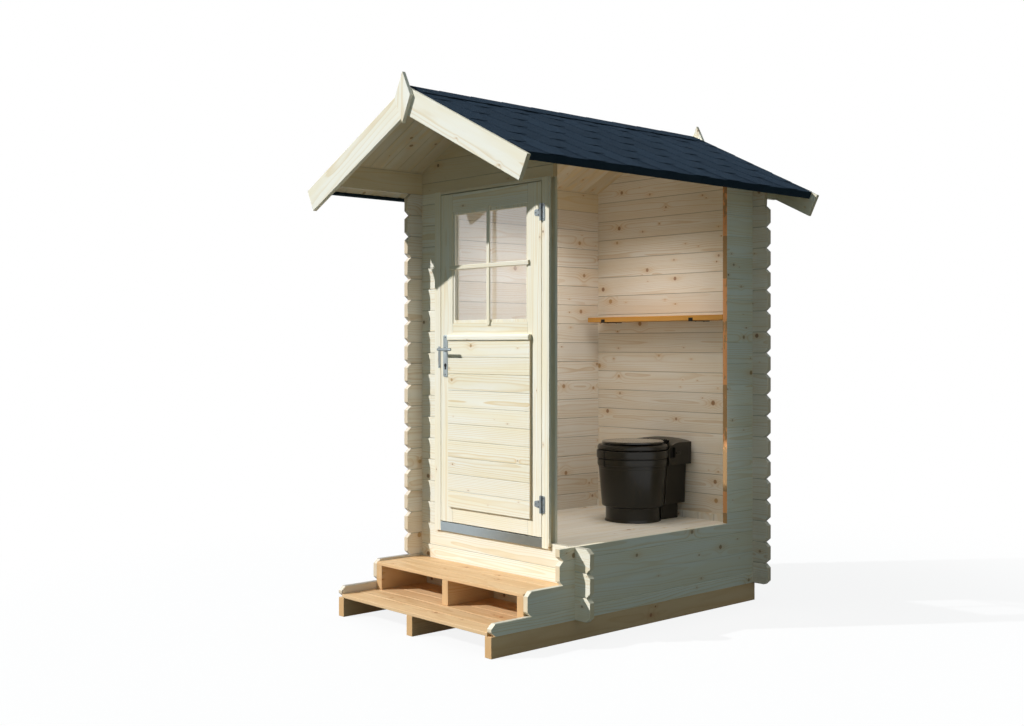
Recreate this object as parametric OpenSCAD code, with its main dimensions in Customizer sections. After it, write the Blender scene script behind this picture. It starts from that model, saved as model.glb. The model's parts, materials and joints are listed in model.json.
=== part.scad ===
// Small log cabin toilet with a raised floor, two steps and a door.
// The wall beside the door and most of the right wall are cut away above the third log.
// X runs along the front wall, Y from the front wall's outer face to the back, Z up from the ground.

/* [Cabin] */
// Width over the outer faces of the side walls
cabin_w = 1194; // [1100:2:1400]
// Depth over the outer faces of the front and back walls
cabin_d = 1401; // [1300:1:1700]
// Thickness of a wall log
wall_t = 28; // [24:1:44]
// Height of one log
log_h = 114; // [112:1:116]
// How far log ends stand out past a corner
log_end = 100; // [70:5:120]
// Depth of the bevel cut on a log's end
bevel_in = 25; // [15:1:35]
// Height of the bevel cut on a log's end
bevel_up = 22; // [12:1:28]
// Depth of the V groove at each log joint
groove = 2.5; // [1:0.5:4]
// Height at which the cut-away walls end
cut_z = 440; // [439:1:445]
// Where the rear strip of the right wall begins
cut_y = 1150; // [1000:10:1250]

/* [Base and steps] */
// Height of the three base beams
beam_h = 97; // [80:1:120]
// Width of a base beam
beam_w = 45; // [40:1:60]
// How far the base beams reach in front of the front wall
step_out = 522; // [500:2:540]
// How far the upper step reaches in front of the front wall
step_in = 303; // [280:1:320]
// Thickness of a step board
tread_t = 18; // [16:1:24]
// Height of the blocks under the upper step
riser_h = 124; // [110:1:130]
// Height of the floor's top
floor_z = 408; // [400:1:415]

/* [Roof] */
// Slope of the roof in degrees
pitch = 26.3; // [24:0.1:28]
// Height of the top of the ridge
ridge_z = 2638; // [2600:1:2660]
// How far the roof reaches in front of the front wall
roof_out = 523; // [480:1:540]
// How far the roof reaches behind the back wall
roof_back = 200; // [150:1:220]
// Distance of the eave from the middle
eave_x = 821; // [800:1:850]
// Thickness of the roof boards
board_t = 21; // [16:1:24]
// Thickness of the shingles
shingle_t = 4; // [3:0.5:6]
// Depth of a barge board
barge_h = 122; // [100:1:140]

/* [Door] */
// Where the middle of the door lies along the wall
door_x = -3; // [-10:1:10]
// Width of the door leaf
leaf_w = 770; // [740:2:780]
// Height of the underside of the leaf
leaf_z = 464; // [464:1:466]
// Height of the top of the leaf
leaf_top = 2185; // [2150:1:2185]
// Thickness of the leaf
leaf_t = 40; // [36:1:42]
// Width of the stiles and rails
stile_w = 95; // [80:1:110]
// Gap round the leaf
gap = 5; // [5:0.5:6]

/* [Shelf and toilet] */
// Height of the shelf's top
shelf_z = 1560; // [1500:1:1600]
// Depth of the shelf
shelf_d = 150; // [120:5:180]
// Where the middle of the toilet lies along X
toilet_x = 10; // [-20:5:40]
// Where the middle of the toilet bowl lies along Y
toilet_y = 1050; // [1000:5:1060]

/* [Hidden] */
$fn = 48;

spruce = "#efe4c4";
stained = "#d9a066";
slate = "#2f3b4a";
zinc = "#9aa3a8";
black = "#24221f";

// walls
half_w = cabin_w / 2;
half_log = log_h / 2;
wall_z = beam_h;
front_logs = [for (k = [0:20]) [wall_z + k * log_h, wall_z + (k + 1) * log_h]];
side_logs = concat([[wall_z, wall_z + half_log]],
                   [for (k = [0:19]) [wall_z + half_log + k * log_h, wall_z + half_log + (k + 1) * log_h]]);
plinth_top = side_logs[1][1];
purlin_z = side_logs[19][0];
split_z = 2205;
inner_w = cabin_w - 2 * wall_t;
inner_back = cabin_d - wall_t;
wall_back = cabin_d + log_end;
gable_cut = 450;

// roof, as heights above the middle line
slope = tan(pitch);
rise = 1 / cos(pitch);
cap_t = 3;
shingle_top = ridge_z - cap_t;
board_top = shingle_top - shingle_t * rise;
soffit = board_top - board_t * rise;
play = 0.05;
wall_top = soffit - play;
trim_t = 13;
trim_h = 34;
barge_t = 22;
barge_x = 856;
barge_drop = 3.5;
purlin_w = 45;
purlin_h = 104;
finial_t = 20;

// door frame and leaf
face_y = -14;
leaf_x0 = door_x - leaf_w / 2;
leaf_x1 = door_x + leaf_w / 2;
jamb = leaf_w / 2 + gap;
core = jamb + 21;
casing = jamb + 49.5;
stop_w = 15;
back_y = 42;
stop_y = face_y + leaf_t + gap;
head_z = leaf_top + gap;
casing_z = 412;
strip_t = 3;
sill_z = leaf_z - gap - strip_t;
log3_z = front_logs[2][1];
bead_w = 15;
glass_z0 = 1508;
glass_z1 = leaf_top - stile_w;
rail_z = glass_z0 - stile_w;
panel_z0 = leaf_z + 81;
panel_z1 = 1418;
panel_w = 629;
panel_out = 13;
boards = 10;
hinge_x = leaf_x1 + gap / 2;
hinge_y = face_y - 7;
hinge_z = [622, 2036];
knuckle_r = 6;
pin_r = 4;
run = 0.08;
lever_x = leaf_x0 + 39;
lever_z = 1370;
lever_r = 8;
key_z = 1286;
plate_t = 4;
neck = 46;
grip_l = 112;

// shelf
shelf_t = 29;

// toilet, as heights above the floor
bowl_r = 203;
lid_r = 174;
lid_gap = 5;
flange_z = 407;
seat_top = 429;
lid_t = 14;
lid_z = floor_z + seat_top + lid_gap;
lid_pin_r = 3;
lid_pin_y = toilet_y + 188;
lid_pin_z = lid_z + 10;
lid_tube_r = 7;
lid_ear_x = 62;
lid_ear_w = 24;

// ---- helpers ----

// Extrudes a (Y, Z) outline along X
module along_x(x0, x1) {
    translate([x0, 0, 0])
        rotate([90, 0, 90])
            linear_extrude(x1 - x0)
                children();
}

// Extrudes an (X, Z) outline along Y
module along_y(y0, y1) {
    translate([0, y1, 0])
        rotate([90, 0, 0])
            linear_extrude(y1 - y0)
                children();
}

module block(low, high) {
    translate(low)
        cube(high - low);
}

module mirror_x(left) {
    mirror([left ? 1 : 0, 0, 0])
        children();
}

// Section through a stack of logs, from one height to another, with V grooves at the joints
module log_section(t0, logs, z0, z1) {
    joints = [for (l = logs) if (l[0] > z0 + groove && l[0] < z1 - groove) l[0]];
    last = len(joints) - 1;
    front = [for (z = joints, p = [[0, -groove], [groove, 0], [0, groove]]) [t0 + p[0], z + p[1]]];
    rear = [for (i = [last:-1:0], p = [[0, groove], [-groove, 0], [0, -groove]])
            [t0 + wall_t + p[0], joints[i] + p[1]]];
    polygon(concat([[t0, z0]], front, [[t0, z1], [t0 + wall_t, z1]], rear, [[t0 + wall_t, z0]]));
}

// Bevelled log ends at a place, going up; side is -1 for the low end and 1 for the high end
function log_ends(logs, z0, z1, place, side) =
    [for (l = logs) if (l[0] < z1 - 1 && l[1] > z0 + 1)
        for (p = [[bevel_in, l[0]], [0, l[0] + bevel_up], [0, l[1] - bevel_up], [bevel_in, l[1]]])
            if (p[1] >= z0 && p[1] <= z1) [place - side * p[0], p[1]]];

function reversed(list) = [for (i = [len(list) - 1:-1:0]) list[i]];

// The space under the roof boards, as an (X, Z) outline
module under_roof() {
    polygon([[-900, 0], [900, 0], [900, wall_top - 900 * slope], [0, wall_top],
             [-900, wall_top - 900 * slope]]);
}

// Cuts the bands that the crossing wall's logs keep at a corner
module corner_cuts(x0, x1, y0, y1, for_side) {
    shift = for_side ? log_h / 4 : -log_h / 4;
    for (k = [0:20])
        block([x0, y0, wall_z + k * log_h + shift], [x1, y1, wall_z + k * log_h + shift + half_log]);
}

// Log wall along X: elevation outline as points, with the crossings at both corners cut
module wall_along_x(outline, y0, logs, z0, z1) {
    difference() {
        intersection() {
            along_x(-900, 900)
                log_section(y0, logs, z0, z1);
            along_y(y0 - 1, y0 + wall_t + 1)
                polygon(outline);
            along_y(y0 - 1, y0 + wall_t + 1)
                under_roof();
        }
        corner_cuts(-half_w, -half_w + wall_t, y0 - 1, y0 + wall_t + 1, false);
        corner_cuts(half_w - wall_t, half_w, y0 - 1, y0 + wall_t + 1, false);
    }
}

// Log wall along Y at X = x0, from a (Y, Z) outline
module wall_along_y(outline, x0, logs, z0, z1) {
    difference() {
        intersection() {
            along_y(-600, 1700)
                log_section(x0, logs, z0, z1);
            along_x(x0 - 1, x0 + wall_t + 1)
                polygon(outline);
            along_y(-601, 1701)
                under_roof();
        }
        corner_cuts(x0 - 1, x0 + wall_t + 1, 0, wall_t, true);
        corner_cuts(x0 - 1, x0 + wall_t + 1, inner_back, cabin_d, true);
    }
}

// ---- base and steps ----

module beam(x0) {
    color(stained)
        block([x0, -step_out, 0], [x0 + beam_w, cabin_d - 8, beam_h]);
}

module beam_left() { beam(-half_w); }
module beam_middle() { beam(-beam_w / 2); }
module beam_right() { beam(half_w - beam_w); }

// Boards laid side by side from the front edge back to the wall
module tread(depth, count, z0) {
    slot = 4;
    pitch_y = depth / count;
    for (i = [0:count - 1])
        block([-inner_w / 2, -depth + i * pitch_y, z0],
              [inner_w / 2, -depth + (i + 1) * pitch_y - slot, z0 + tread_t]);
}

module lower_tread() {
    color(stained)
        tread(step_out, 5, beam_h);
}

module upper_tread() {
    color(stained)
        tread(step_in, 3, beam_h + tread_t + riser_h);
}

module step_blocks() {
    color(stained)
        for (x = [-inner_w / 2, -beam_w / 2, inner_w / 2 - beam_w])
            block([x, -step_in, beam_h + tread_t], [x + beam_w, -4, beam_h + tread_t + riser_h]);
}

// ---- floor ----

module floor_ledgers() {
    color(spruce)
        for (x = [-inner_w / 2, inner_w / 2 - 28])
            block([x, wall_t, floor_z - tread_t - 95 - 45], [x + 28, inner_back, floor_z - tread_t - 95]);
}

module floor_joists() {
    color(spruce)
        for (i = [0:3])
            translate([0, wall_t + 60 + i * (inner_back - wall_t - 120 - beam_w) / 3, floor_z - tread_t - 95])
                block([-inner_w / 2, 0, 0], [inner_w / 2, beam_w, 95]);
}

module floor_boards() {
    color(spruce)
        block([-inner_w / 2, wall_t, floor_z - tread_t], [inner_w / 2, inner_back, floor_z]);
}

module skirting() {
    t = 14;
    h = 40;
    color(spruce)
        block([-inner_w / 2, inner_back - t, floor_z], [inner_w / 2, inner_back, floor_z + h]);
}

// ---- walls ----

module front_wall_base() {
    out = half_w + log_end;
    color(spruce)
        wall_along_x(concat(reversed(log_ends(front_logs, wall_z, log3_z, -out, -1)),
                            log_ends(front_logs, wall_z, log3_z, out, 1)),
                     0, front_logs, wall_z, log3_z);
}

module front_wall_left() {
    out = half_w + log_end;
    inner = door_x - core - 3;
    color(spruce)
        wall_along_x(concat([[inner, log3_z], [inner, split_z], [-out, split_z]],
                            reversed(log_ends(front_logs, log3_z, split_z, -out, -1))),
                     0, front_logs, log3_z, split_z);
}

module ridge_section() {
    x = purlin_w / 2;
    polygon([[-x, wall_top - purlin_h], [x, wall_top - purlin_h], [x, wall_top - x * slope],
             [0, wall_top], [-x, wall_top - x * slope]]);
}

// The notch in a gable that the ridge purlin lies in, open at the top
module ridge_notch() {
    x = purlin_w / 2;
    translate([-x, wall_top - purlin_h])
        square([purlin_w, purlin_h + 20]);
}

module front_gable() {
    out = half_w + log_end;
    color(spruce)
        difference() {
            wall_along_x([[-out, split_z], [gable_cut, split_z], [gable_cut, soffit], [-out, soffit]],
                         0, front_logs, split_z, soffit);
            along_y(-1, wall_t + 1)
                ridge_notch();
        }
}

module back_wall() {
    out = half_w + log_end;
    top = front_logs[17][1];
    color(spruce)
        difference() {
            wall_along_x(concat([[-out, soffit]], reversed(log_ends(front_logs, wall_z, top, -out, -1)),
                                log_ends(front_logs, wall_z, top, out, 1), [[out, soffit]]),
                         inner_back, front_logs, wall_z, soffit);
            along_y(inner_back - 1, cabin_d + 1)
                ridge_notch();
        }
}

// The two lowest courses of a side wall, which run forward beside the steps
module plinth(left) {
    color(spruce)
        mirror_x(left)
            wall_along_y(concat(reversed(log_ends([side_logs[0]], wall_z, plinth_top, -step_out, -1)),
                                [[wall_back, wall_z], [wall_back, plinth_top]],
                                reversed(log_ends([side_logs[1]], wall_z, plinth_top, -step_in, -1))),
                         half_w - wall_t, side_logs, wall_z, plinth_top);
}

module left_plinth() { plinth(true); }
module right_plinth() { plinth(false); }

module left_wall() {
    color(spruce)
        mirror_x(true)
            wall_along_y(concat(reversed(log_ends(side_logs, plinth_top, purlin_z, -log_end, -1)),
                                log_ends(side_logs, plinth_top, purlin_z, wall_back, 1)),
                         half_w - wall_t, side_logs, plinth_top, purlin_z);
}

module right_wall_low() {
    color(spruce)
        wall_along_y(concat([[-log_end, cut_z]],
                            reversed(log_ends(side_logs, plinth_top, cut_z, -log_end, -1)),
                            log_ends(side_logs, plinth_top, cut_z, wall_back, 1), [[wall_back, cut_z]]),
                     half_w - wall_t, side_logs, plinth_top, cut_z);
}

module right_wall_rear() {
    color(spruce)
        wall_along_y(concat([[cut_y, purlin_z], [cut_y, cut_z], [wall_back, cut_z]],
                            log_ends(side_logs, cut_z, purlin_z, wall_back, 1)),
                     half_w - wall_t, side_logs, cut_z, purlin_z);
}

// The top log of a side wall, bevelled to the roof and run out to carry its ends
module purlin(left, y0) {
    color(spruce)
        mirror_x(left)
            wall_along_y([[y0, purlin_z], [cabin_d + roof_back, purlin_z],
                          [cabin_d + roof_back, soffit], [y0, soffit]],
                         half_w - wall_t, side_logs, purlin_z, soffit);
}

module left_purlin() { purlin(true, -roof_out); }
module right_purlin() { purlin(false, cut_y); }

// ---- roof ----

module ridge_purlin() {
    color(spruce)
        along_y(-roof_out, cabin_d + roof_back)
            ridge_section();
}

// A slab that follows one slope of the roof, between two lines given by their heights at the middle
module slope_slab(low, high, x0, x1) {
    along_y(-roof_out, cabin_d + roof_back)
        polygon([[x0, low - x0 * slope], [x0, high - x0 * slope],
                 [x1, high - x1 * slope], [x1, low - x1 * slope]]);
}

// A point near the eave: a distance up the slope, then a depth square to it
function eave_point(up, depth) =
    [eave_x - up * cos(pitch) - depth * sin(pitch),
     board_top - eave_x * slope + up * sin(pitch) - depth * cos(pitch)];

module roof_boards(left) {
    color(spruce)
        mirror_x(left)
            along_y(-roof_out, cabin_d + roof_back)
                polygon([[0, soffit], [0, board_top], eave_point(trim_t, 0), eave_point(trim_t, board_t)]);
}

module roof_boards_left() { roof_boards(true); }
module roof_boards_right() { roof_boards(false); }

module shingles(left) {
    color(slate)
        mirror_x(left)
            slope_slab(board_top + play, shingle_top, 0, eave_x);
}

module shingles_left() { shingles(true); }
module shingles_right() { shingles(false); }

module ridge_cap() {
    x = 110;
    z0 = shingle_top + play;
    color(slate)
        along_y(-roof_out, cabin_d + roof_back)
            polygon([[-x, z0 - x * slope], [0, z0], [x, z0 - x * slope],
                     [x, ridge_z - x * slope], [0, ridge_z], [-x, ridge_z - x * slope]]);
}

// The batten at the eave, set square to the slope and wrapped in the shingles' felt
module eave_trim(left) {
    up = trim_t - play;
    color(slate)
        mirror_x(left)
            along_y(-roof_out, cabin_d + roof_back)
                polygon([eave_point(0, 0), eave_point(0, trim_h), eave_point(up, trim_h), eave_point(up, 0)]);
}

module eave_trim_left() { eave_trim(true); }
module eave_trim_right() { eave_trim(false); }

// Barge board: its top lies just below the shingles' plane and its end is cut square
module barge(left, y0) {
    drop = barge_h * rise;
    top = shingle_top - barge_drop;
    x1 = barge_x - barge_h * sin(pitch);
    color(spruce)
        mirror_x(left)
            along_y(y0, y0 + barge_t)
                polygon([[0, top - drop], [0, top], [barge_x, top - barge_x * slope],
                         [x1, top - drop - x1 * slope]]);
}

module barge_front_left() { barge(true, -roof_out - barge_t); }
module barge_front_right() { barge(false, -roof_out - barge_t); }
module barge_rear_left() { barge(true, cabin_d + roof_back); }
module barge_rear_right() { barge(false, cabin_d + roof_back); }

module finial(y0) {
    color(spruce)
        along_y(y0, y0 + finial_t)
            polygon([[0, 2698], [62, 2577], [0, 2451], [-62, 2577]]);
}

module finial_front() { finial(-roof_out - barge_t - finial_t); }
module finial_rear() { finial(cabin_d + roof_back + barge_t); }

// ---- door frame ----

// Jamb section in plan: casing, groove for the wall logs and inner casing, with the leaf's stop
// between the sill and the head
module jamb_post(side) {
    color(spruce)
        translate([door_x, 0, 0])
            mirror_x(side < 0) {
                translate([0, 0, log3_z])
                    linear_extrude(split_z - log3_z)
                        polygon([[jamb, face_y], [casing, face_y], [casing, 0], [core, 0],
                                 [core, wall_t], [casing, wall_t], [casing, back_y], [jamb, back_y]]);
                block([jamb, face_y, casing_z], [casing, 0, log3_z]);
                block([jamb - stop_w, stop_y, sill_z], [jamb, back_y, head_z - stop_w]);
            }
}

module frame_left() { jamb_post(-1); }
module frame_right() { jamb_post(1); }

module frame_head() {
    z0 = head_z - stop_w;
    color(spruce)
        along_x(door_x - jamb, door_x + jamb)
            polygon([[face_y, head_z], [face_y, split_z], [back_y, split_z], [back_y, z0],
                     [stop_y, z0], [stop_y, head_z]]);
}

module door_sill() {
    y0 = face_y + strip_t;
    color(spruce)
        along_x(door_x - jamb, door_x + jamb)
            polygon([[y0, casing_z], [y0, sill_z], [back_y, sill_z], [back_y, log3_z], [0, log3_z],
                     [0, casing_z]]);
}

// Metal angle over the sill's front edge
module sill_strip() {
    z1 = leaf_z - gap;
    y0 = face_y + strip_t;
    color(zinc)
        along_x(door_x - jamb, door_x + jamb)
            polygon([[face_y, casing_z], [y0, casing_z], [y0, sill_z], [stop_y - 1, sill_z],
                     [stop_y - 1, z1], [face_y, z1]]);
}

module keep_plate() {
    color(zinc)
        block([leaf_x0 - gap - 18, face_y - 2, 1272], [leaf_x0 - gap, face_y, 1386]);
}

// ---- hinges ----

// Two knuckles, the plate that joins them and the pin, on the frame
module hinge_frame_leaf() {
    hole_h = 33;
    h = 84;
    color(zinc) {
        difference() {
            union() {
                cylinder(r = knuckle_r, h = h, center = true);
                block([0, 4, -h / 2], [28, 7, h / 2]);
            }
            cylinder(r = knuckle_r + 2, h = hole_h, center = true);
        }
        cylinder(r = pin_r, h = h - 2, center = true);
    }
}

module hinge_frame_leaves() {
    for (z = hinge_z)
        translate([hinge_x, hinge_y, z])
            hinge_frame_leaf();
}

// The middle knuckle with its wing, on the leaf
module hinge_door_leaf() {
    h = 32;
    color(zinc)
        difference() {
            union() {
                cylinder(r = knuckle_r, h = h, center = true);
                block([-48, 4, -20], [-9, 7, 20]);
                block([-10, 4, -h / 2], [0, 7, h / 2]);
            }
            cylinder(r = pin_r + run, h = h + 2, center = true);
        }
}

module hinge_door_leaves() {
    for (z = hinge_z)
        translate([hinge_x, hinge_y, z])
            hinge_door_leaf();
}

// ---- door leaf ----

module door_stiles() {
    y1 = face_y + leaf_t;
    color(spruce)
        difference() {
            union() {
                block([leaf_x0, face_y, leaf_z], [leaf_x0 + stile_w, y1, leaf_top]);
                block([leaf_x1 - stile_w, face_y, leaf_z], [leaf_x1, y1, leaf_top]);
            }
            translate([lever_x, 0, lever_z])
                rotate([90, 0, 0])
                    cylinder(r = lever_r + run, h = 200, center = true);
        }
}

module door_rails() {
    color(spruce)
        for (z = [leaf_z, rail_z, glass_z1])
            block([leaf_x0 + stile_w, face_y, z], [leaf_x1 - stile_w, face_y + leaf_t, z + stile_w]);
}

// Planted boards with V joints, and the tongue that fills the opening behind them
module door_panel() {
    y0 = face_y - panel_out;
    step = (panel_z1 - panel_z0) / boards;
    joints = [for (i = [boards - 1:-1:1]) panel_z0 + i * step];
    v = [for (z = joints, p = [[0, groove], [groove, 0], [0, -groove]]) [y0 + p[0], z + p[1]]];
    color(spruce) {
        along_x(door_x - panel_w / 2 + 2, door_x + panel_w / 2 + 2)
            polygon(concat([[face_y, panel_z0], [face_y, panel_z1], [y0, panel_z1]], v, [[y0, panel_z0]]));
        block([leaf_x0 + stile_w, face_y, leaf_z + stile_w], [leaf_x1 - stile_w, 8, rail_z]);
    }
}

module drip_moulding() {
    y0 = face_y - 22;
    color(spruce)
        along_x(door_x - panel_w / 2 + 2, door_x + panel_w / 2 + 2)
            polygon([[face_y, panel_z1], [y0, panel_z1], [y0, panel_z1 + 21], [y0 + 7, panel_z1 + 29],
                     [face_y, panel_z1 + 30]]);
}

module bead_ring(y0, y1) {
    along_y(y0, y1)
        difference() {
            translate([leaf_x0 + stile_w, glass_z0])
                square([leaf_w - 2 * stile_w, glass_z1 - glass_z0]);
            translate([leaf_x0 + stile_w + bead_w, glass_z0 + bead_w])
                square([leaf_w - 2 * stile_w - 2 * bead_w, glass_z1 - glass_z0 - 2 * bead_w]);
        }
}

module door_beads() {
    color(spruce) {
        bead_ring(face_y + 4, 2);
        bead_ring(6, 18);
    }
}

module door_glass() {
    color("#a9c4d6", 0.4)
        block([leaf_x0 + stile_w, 2, glass_z0], [leaf_x1 - stile_w, 6, glass_z1]);
}

module lock_plates() {
    w = 35;
    h = 220;
    z0 = 1226;
    back = face_y + leaf_t;
    color(zinc)
        difference() {
            union() {
                block([lever_x - w / 2, face_y - plate_t, z0], [lever_x + w / 2, face_y, z0 + h]);
                block([lever_x - w / 2, back, z0], [lever_x + w / 2, back + plate_t, z0 + h]);
            }
            translate([lever_x, 0, lever_z])
                rotate([90, 0, 0])
                    cylinder(r = lever_r + run, h = 200, center = true);
            translate([lever_x, 0, key_z])
                rotate([90, 0, 0])
                    cylinder(r = 5, h = 200, center = true);
        }
}

module lever_spindle() {
    y0 = face_y - plate_t - neck;
    y1 = face_y + leaf_t + plate_t + neck;
    color(zinc)
        translate([lever_x, y1, lever_z])
            rotate([90, 0, 0])
                cylinder(r = lever_r, h = y1 - y0);
}

// Round grips pointing to the hinges, outside and inside, each with the elbow that meets the spindle
module lever_grips() {
    y0 = face_y - plate_t - neck;
    y1 = face_y + leaf_t + plate_t + neck;
    color(zinc)
        for (end = [[y0 - lever_r, y0], [y1 + lever_r, y1]]) {
            translate([lever_x - 9, end[0], lever_z])
                rotate([0, 90, 0])
                    cylinder(r = lever_r, h = grip_l + 9);
            translate([lever_x, max(end), lever_z])
                rotate([90, 0, 0])
                    cylinder(r = lever_r, h = lever_r);
        }
}

// ---- shelf ----

module shelf_board() {
    color(stained)
        block([-513, inner_back - shelf_d, shelf_z - shelf_t], [508, inner_back, shelf_z]);
}

// Straps under the board, turned up over its front edge
module shelf_brackets() {
    w = 28;
    t = 4;
    z = shelf_z - shelf_t;
    y0 = inner_back - shelf_d;
    color(black)
        for (x = [-386, 287])
            along_x(x - w / 2, x + w / 2)
                polygon([[y0 - t, z - t], [y0 - t, z + 16], [y0, z + 16], [y0, z],
                         [inner_back, z], [inner_back, z - t]]);
}

// ---- toilet ----

// Round tub with a foot, a stepped body and a broad flange
module toilet_bucket() {
    t = 6;
    color(black)
        translate([toilet_x, toilet_y, floor_z])
            rotate_extrude($fn = 96)
                polygon([[0, 0], [156, 0], [156, 90], [173, 96], [193, 340], [193, 359], [bowl_r, 359],
                         [bowl_r, flange_z], [184, flange_z], [184, 340], [164, 100], [150, 90],
                         [150, t], [0, t]]);
}

module toilet_seat() {
    color(black)
        translate([toilet_x, toilet_y, floor_z])
            rotate_extrude($fn = 96)
                polygon([[118, flange_z], [197, flange_z], [197, seat_top - 8], [190, seat_top],
                         [126, seat_top], [118, seat_top - 6]]);
}

// Rods along X at the lid's hinge, one on each side of the middle
module lid_rods(r, x0, x1) {
    for (side = [-1, 1])
        translate([toilet_x + side * (x0 + x1) / 2, lid_pin_y, lid_pin_z])
            rotate([0, 90, 0])
                cylinder(r = r, h = x1 - x0, center = true);
}

// Housing behind the tub, wider at the top, with the pins and ears that carry the lid
module toilet_box() {
    top = 455;
    ear_x = lid_ear_x + lid_ear_w / 2 + 0.5;
    ear_t = 14;
    color(black) {
        difference() {
            translate([toilet_x, 0, floor_z]) {
                along_y(toilet_y + 60, inner_back - 26)
                    polygon([[-134, 92], [134, 92], [139, 312], [180, 312], [180, top - 18], [100, top - 4],
                             [0, top], [-100, top - 4], [-180, top - 18], [-180, 312], [-139, 312]]);
                along_y(toilet_y + 60, inner_back - 60)
                    polygon([[-110, 0], [110, 0], [110, 92], [-110, 92]]);
            }
            translate([toilet_x, toilet_y, floor_z])
                rotate_extrude($fn = 96)
                    polygon([[0, -1], [157, -1], [157, 88], [174, 88], [174, 96], [194, 340], [194, 358],
                             [bowl_r + 1, 358], [bowl_r + 1, 600], [0, 600]]);
            for (side = [-1, 1])
                translate([toilet_x + side * lid_ear_x, lid_pin_y, lid_pin_z])
                    block([-ear_x + lid_ear_x, -60, -12], [ear_x - lid_ear_x, 12, 60]);
        }
        for (side = [-1, 1])
            translate([toilet_x + side * (ear_x + ear_t / 2), lid_pin_y, lid_pin_z])
                block([-ear_t / 2, 4, -30], [ear_t / 2, 24, 0]);
        lid_rods(lid_tube_r, ear_x, ear_x + ear_t);
        lid_rods(lid_pin_r, lid_ear_x - lid_ear_w / 2, ear_x + 1);
    }
}

// Round lid with two hinge tubes at the back
module toilet_lid() {
    x0 = lid_ear_x - lid_ear_w / 2;
    x1 = lid_ear_x + lid_ear_w / 2;
    color(black)
        difference() {
            union() {
                translate([toilet_x, toilet_y, lid_z])
                    rotate_extrude($fn = 96)
                        polygon([[0, 0], [lid_r, 0], [lid_r, lid_t - 6], [lid_r - 8, lid_t], [0, lid_t]]);
                lid_rods(lid_tube_r, x0, x1);
                for (side = [-1, 1])
                    translate([toilet_x + side * lid_ear_x, 0, 0])
                        block([-lid_ear_w / 2, toilet_y + 140, lid_z + 1],
                              [lid_ear_w / 2, lid_pin_y, lid_z + lid_t - 3]);
            }
            lid_rods(lid_pin_r + run, x0 - 1, x1 + 1);
        }
}

beam_left();
beam_middle();
beam_right();
lower_tread();
step_blocks();
upper_tread();
floor_ledgers();
floor_joists();
floor_boards();
skirting();
front_wall_base();
front_wall_left();
front_gable();
left_plinth();
left_wall();
left_purlin();
right_plinth();
right_wall_low();
right_wall_rear();
right_purlin();
back_wall();
ridge_purlin();
roof_boards_left();
roof_boards_right();
shingles_left();
shingles_right();
ridge_cap();
eave_trim_left();
eave_trim_right();
barge_front_left();
barge_front_right();
barge_rear_left();
barge_rear_right();
finial_front();
finial_rear();
frame_left();
frame_right();
frame_head();
door_sill();
sill_strip();
keep_plate();
hinge_frame_leaves();
door_stiles();
door_rails();
door_panel();
drip_moulding();
door_beads();
door_glass();
lock_plates();
hinge_door_leaves();
lever_spindle();
lever_grips();
shelf_board();
shelf_brackets();
toilet_bucket();
toilet_seat();
toilet_box();
toilet_lid();
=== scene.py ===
import json
import math

import bmesh
import bpy
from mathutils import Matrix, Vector


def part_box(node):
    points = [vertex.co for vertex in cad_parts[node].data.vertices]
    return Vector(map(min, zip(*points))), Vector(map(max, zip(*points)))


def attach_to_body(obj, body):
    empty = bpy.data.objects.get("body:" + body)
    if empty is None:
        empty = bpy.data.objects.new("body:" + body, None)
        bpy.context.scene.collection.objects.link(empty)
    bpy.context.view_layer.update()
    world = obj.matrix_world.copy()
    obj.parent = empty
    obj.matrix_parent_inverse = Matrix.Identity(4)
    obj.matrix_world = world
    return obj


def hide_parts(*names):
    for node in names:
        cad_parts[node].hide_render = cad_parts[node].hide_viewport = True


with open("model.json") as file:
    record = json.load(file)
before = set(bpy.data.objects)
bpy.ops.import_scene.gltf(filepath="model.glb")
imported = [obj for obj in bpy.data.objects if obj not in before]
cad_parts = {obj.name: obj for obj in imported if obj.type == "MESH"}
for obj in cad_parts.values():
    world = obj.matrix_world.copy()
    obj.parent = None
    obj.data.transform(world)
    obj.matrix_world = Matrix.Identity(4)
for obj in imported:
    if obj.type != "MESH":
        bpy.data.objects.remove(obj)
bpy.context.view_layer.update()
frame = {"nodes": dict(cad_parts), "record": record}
scene = bpy.context.scene
cad = frame["nodes"]
record = frame["record"]
bodyOf = {node: body for body, nodes in record["behaviour"]["bodies"].items() for node in nodes}
print("frame loaded:", len(cad), "nodes")


# node trees

def operator(operation, turned=False):
    # a method that adds one maths node; turned puts the other value first
    def method(sock, *others):
        values = (*others, sock) if turned else (sock, *others)
        return sock.tree.math(operation, *values)
    return method


class Sock:
    # an output socket that takes part in plain arithmetic
    def __init__(self, tree, socket):
        self.tree = tree
        self.socket = socket

    __add__, __radd__ = operator("ADD"), operator("ADD", True)
    __sub__, __rsub__ = operator("SUBTRACT"), operator("SUBTRACT", True)
    __mul__, __rmul__ = operator("MULTIPLY"), operator("MULTIPLY", True)
    __truediv__, __rtruediv__ = operator("DIVIDE"), operator("DIVIDE", True)
    __mod__, __abs__ = operator("MODULO"), operator("ABSOLUTE")
    __gt__, __lt__ = operator("GREATER_THAN"), operator("LESS_THAN")
    floor, fract = operator("FLOOR"), operator("FRACT")
    exp, root = operator("EXPONENT"), operator("SQRT")


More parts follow.
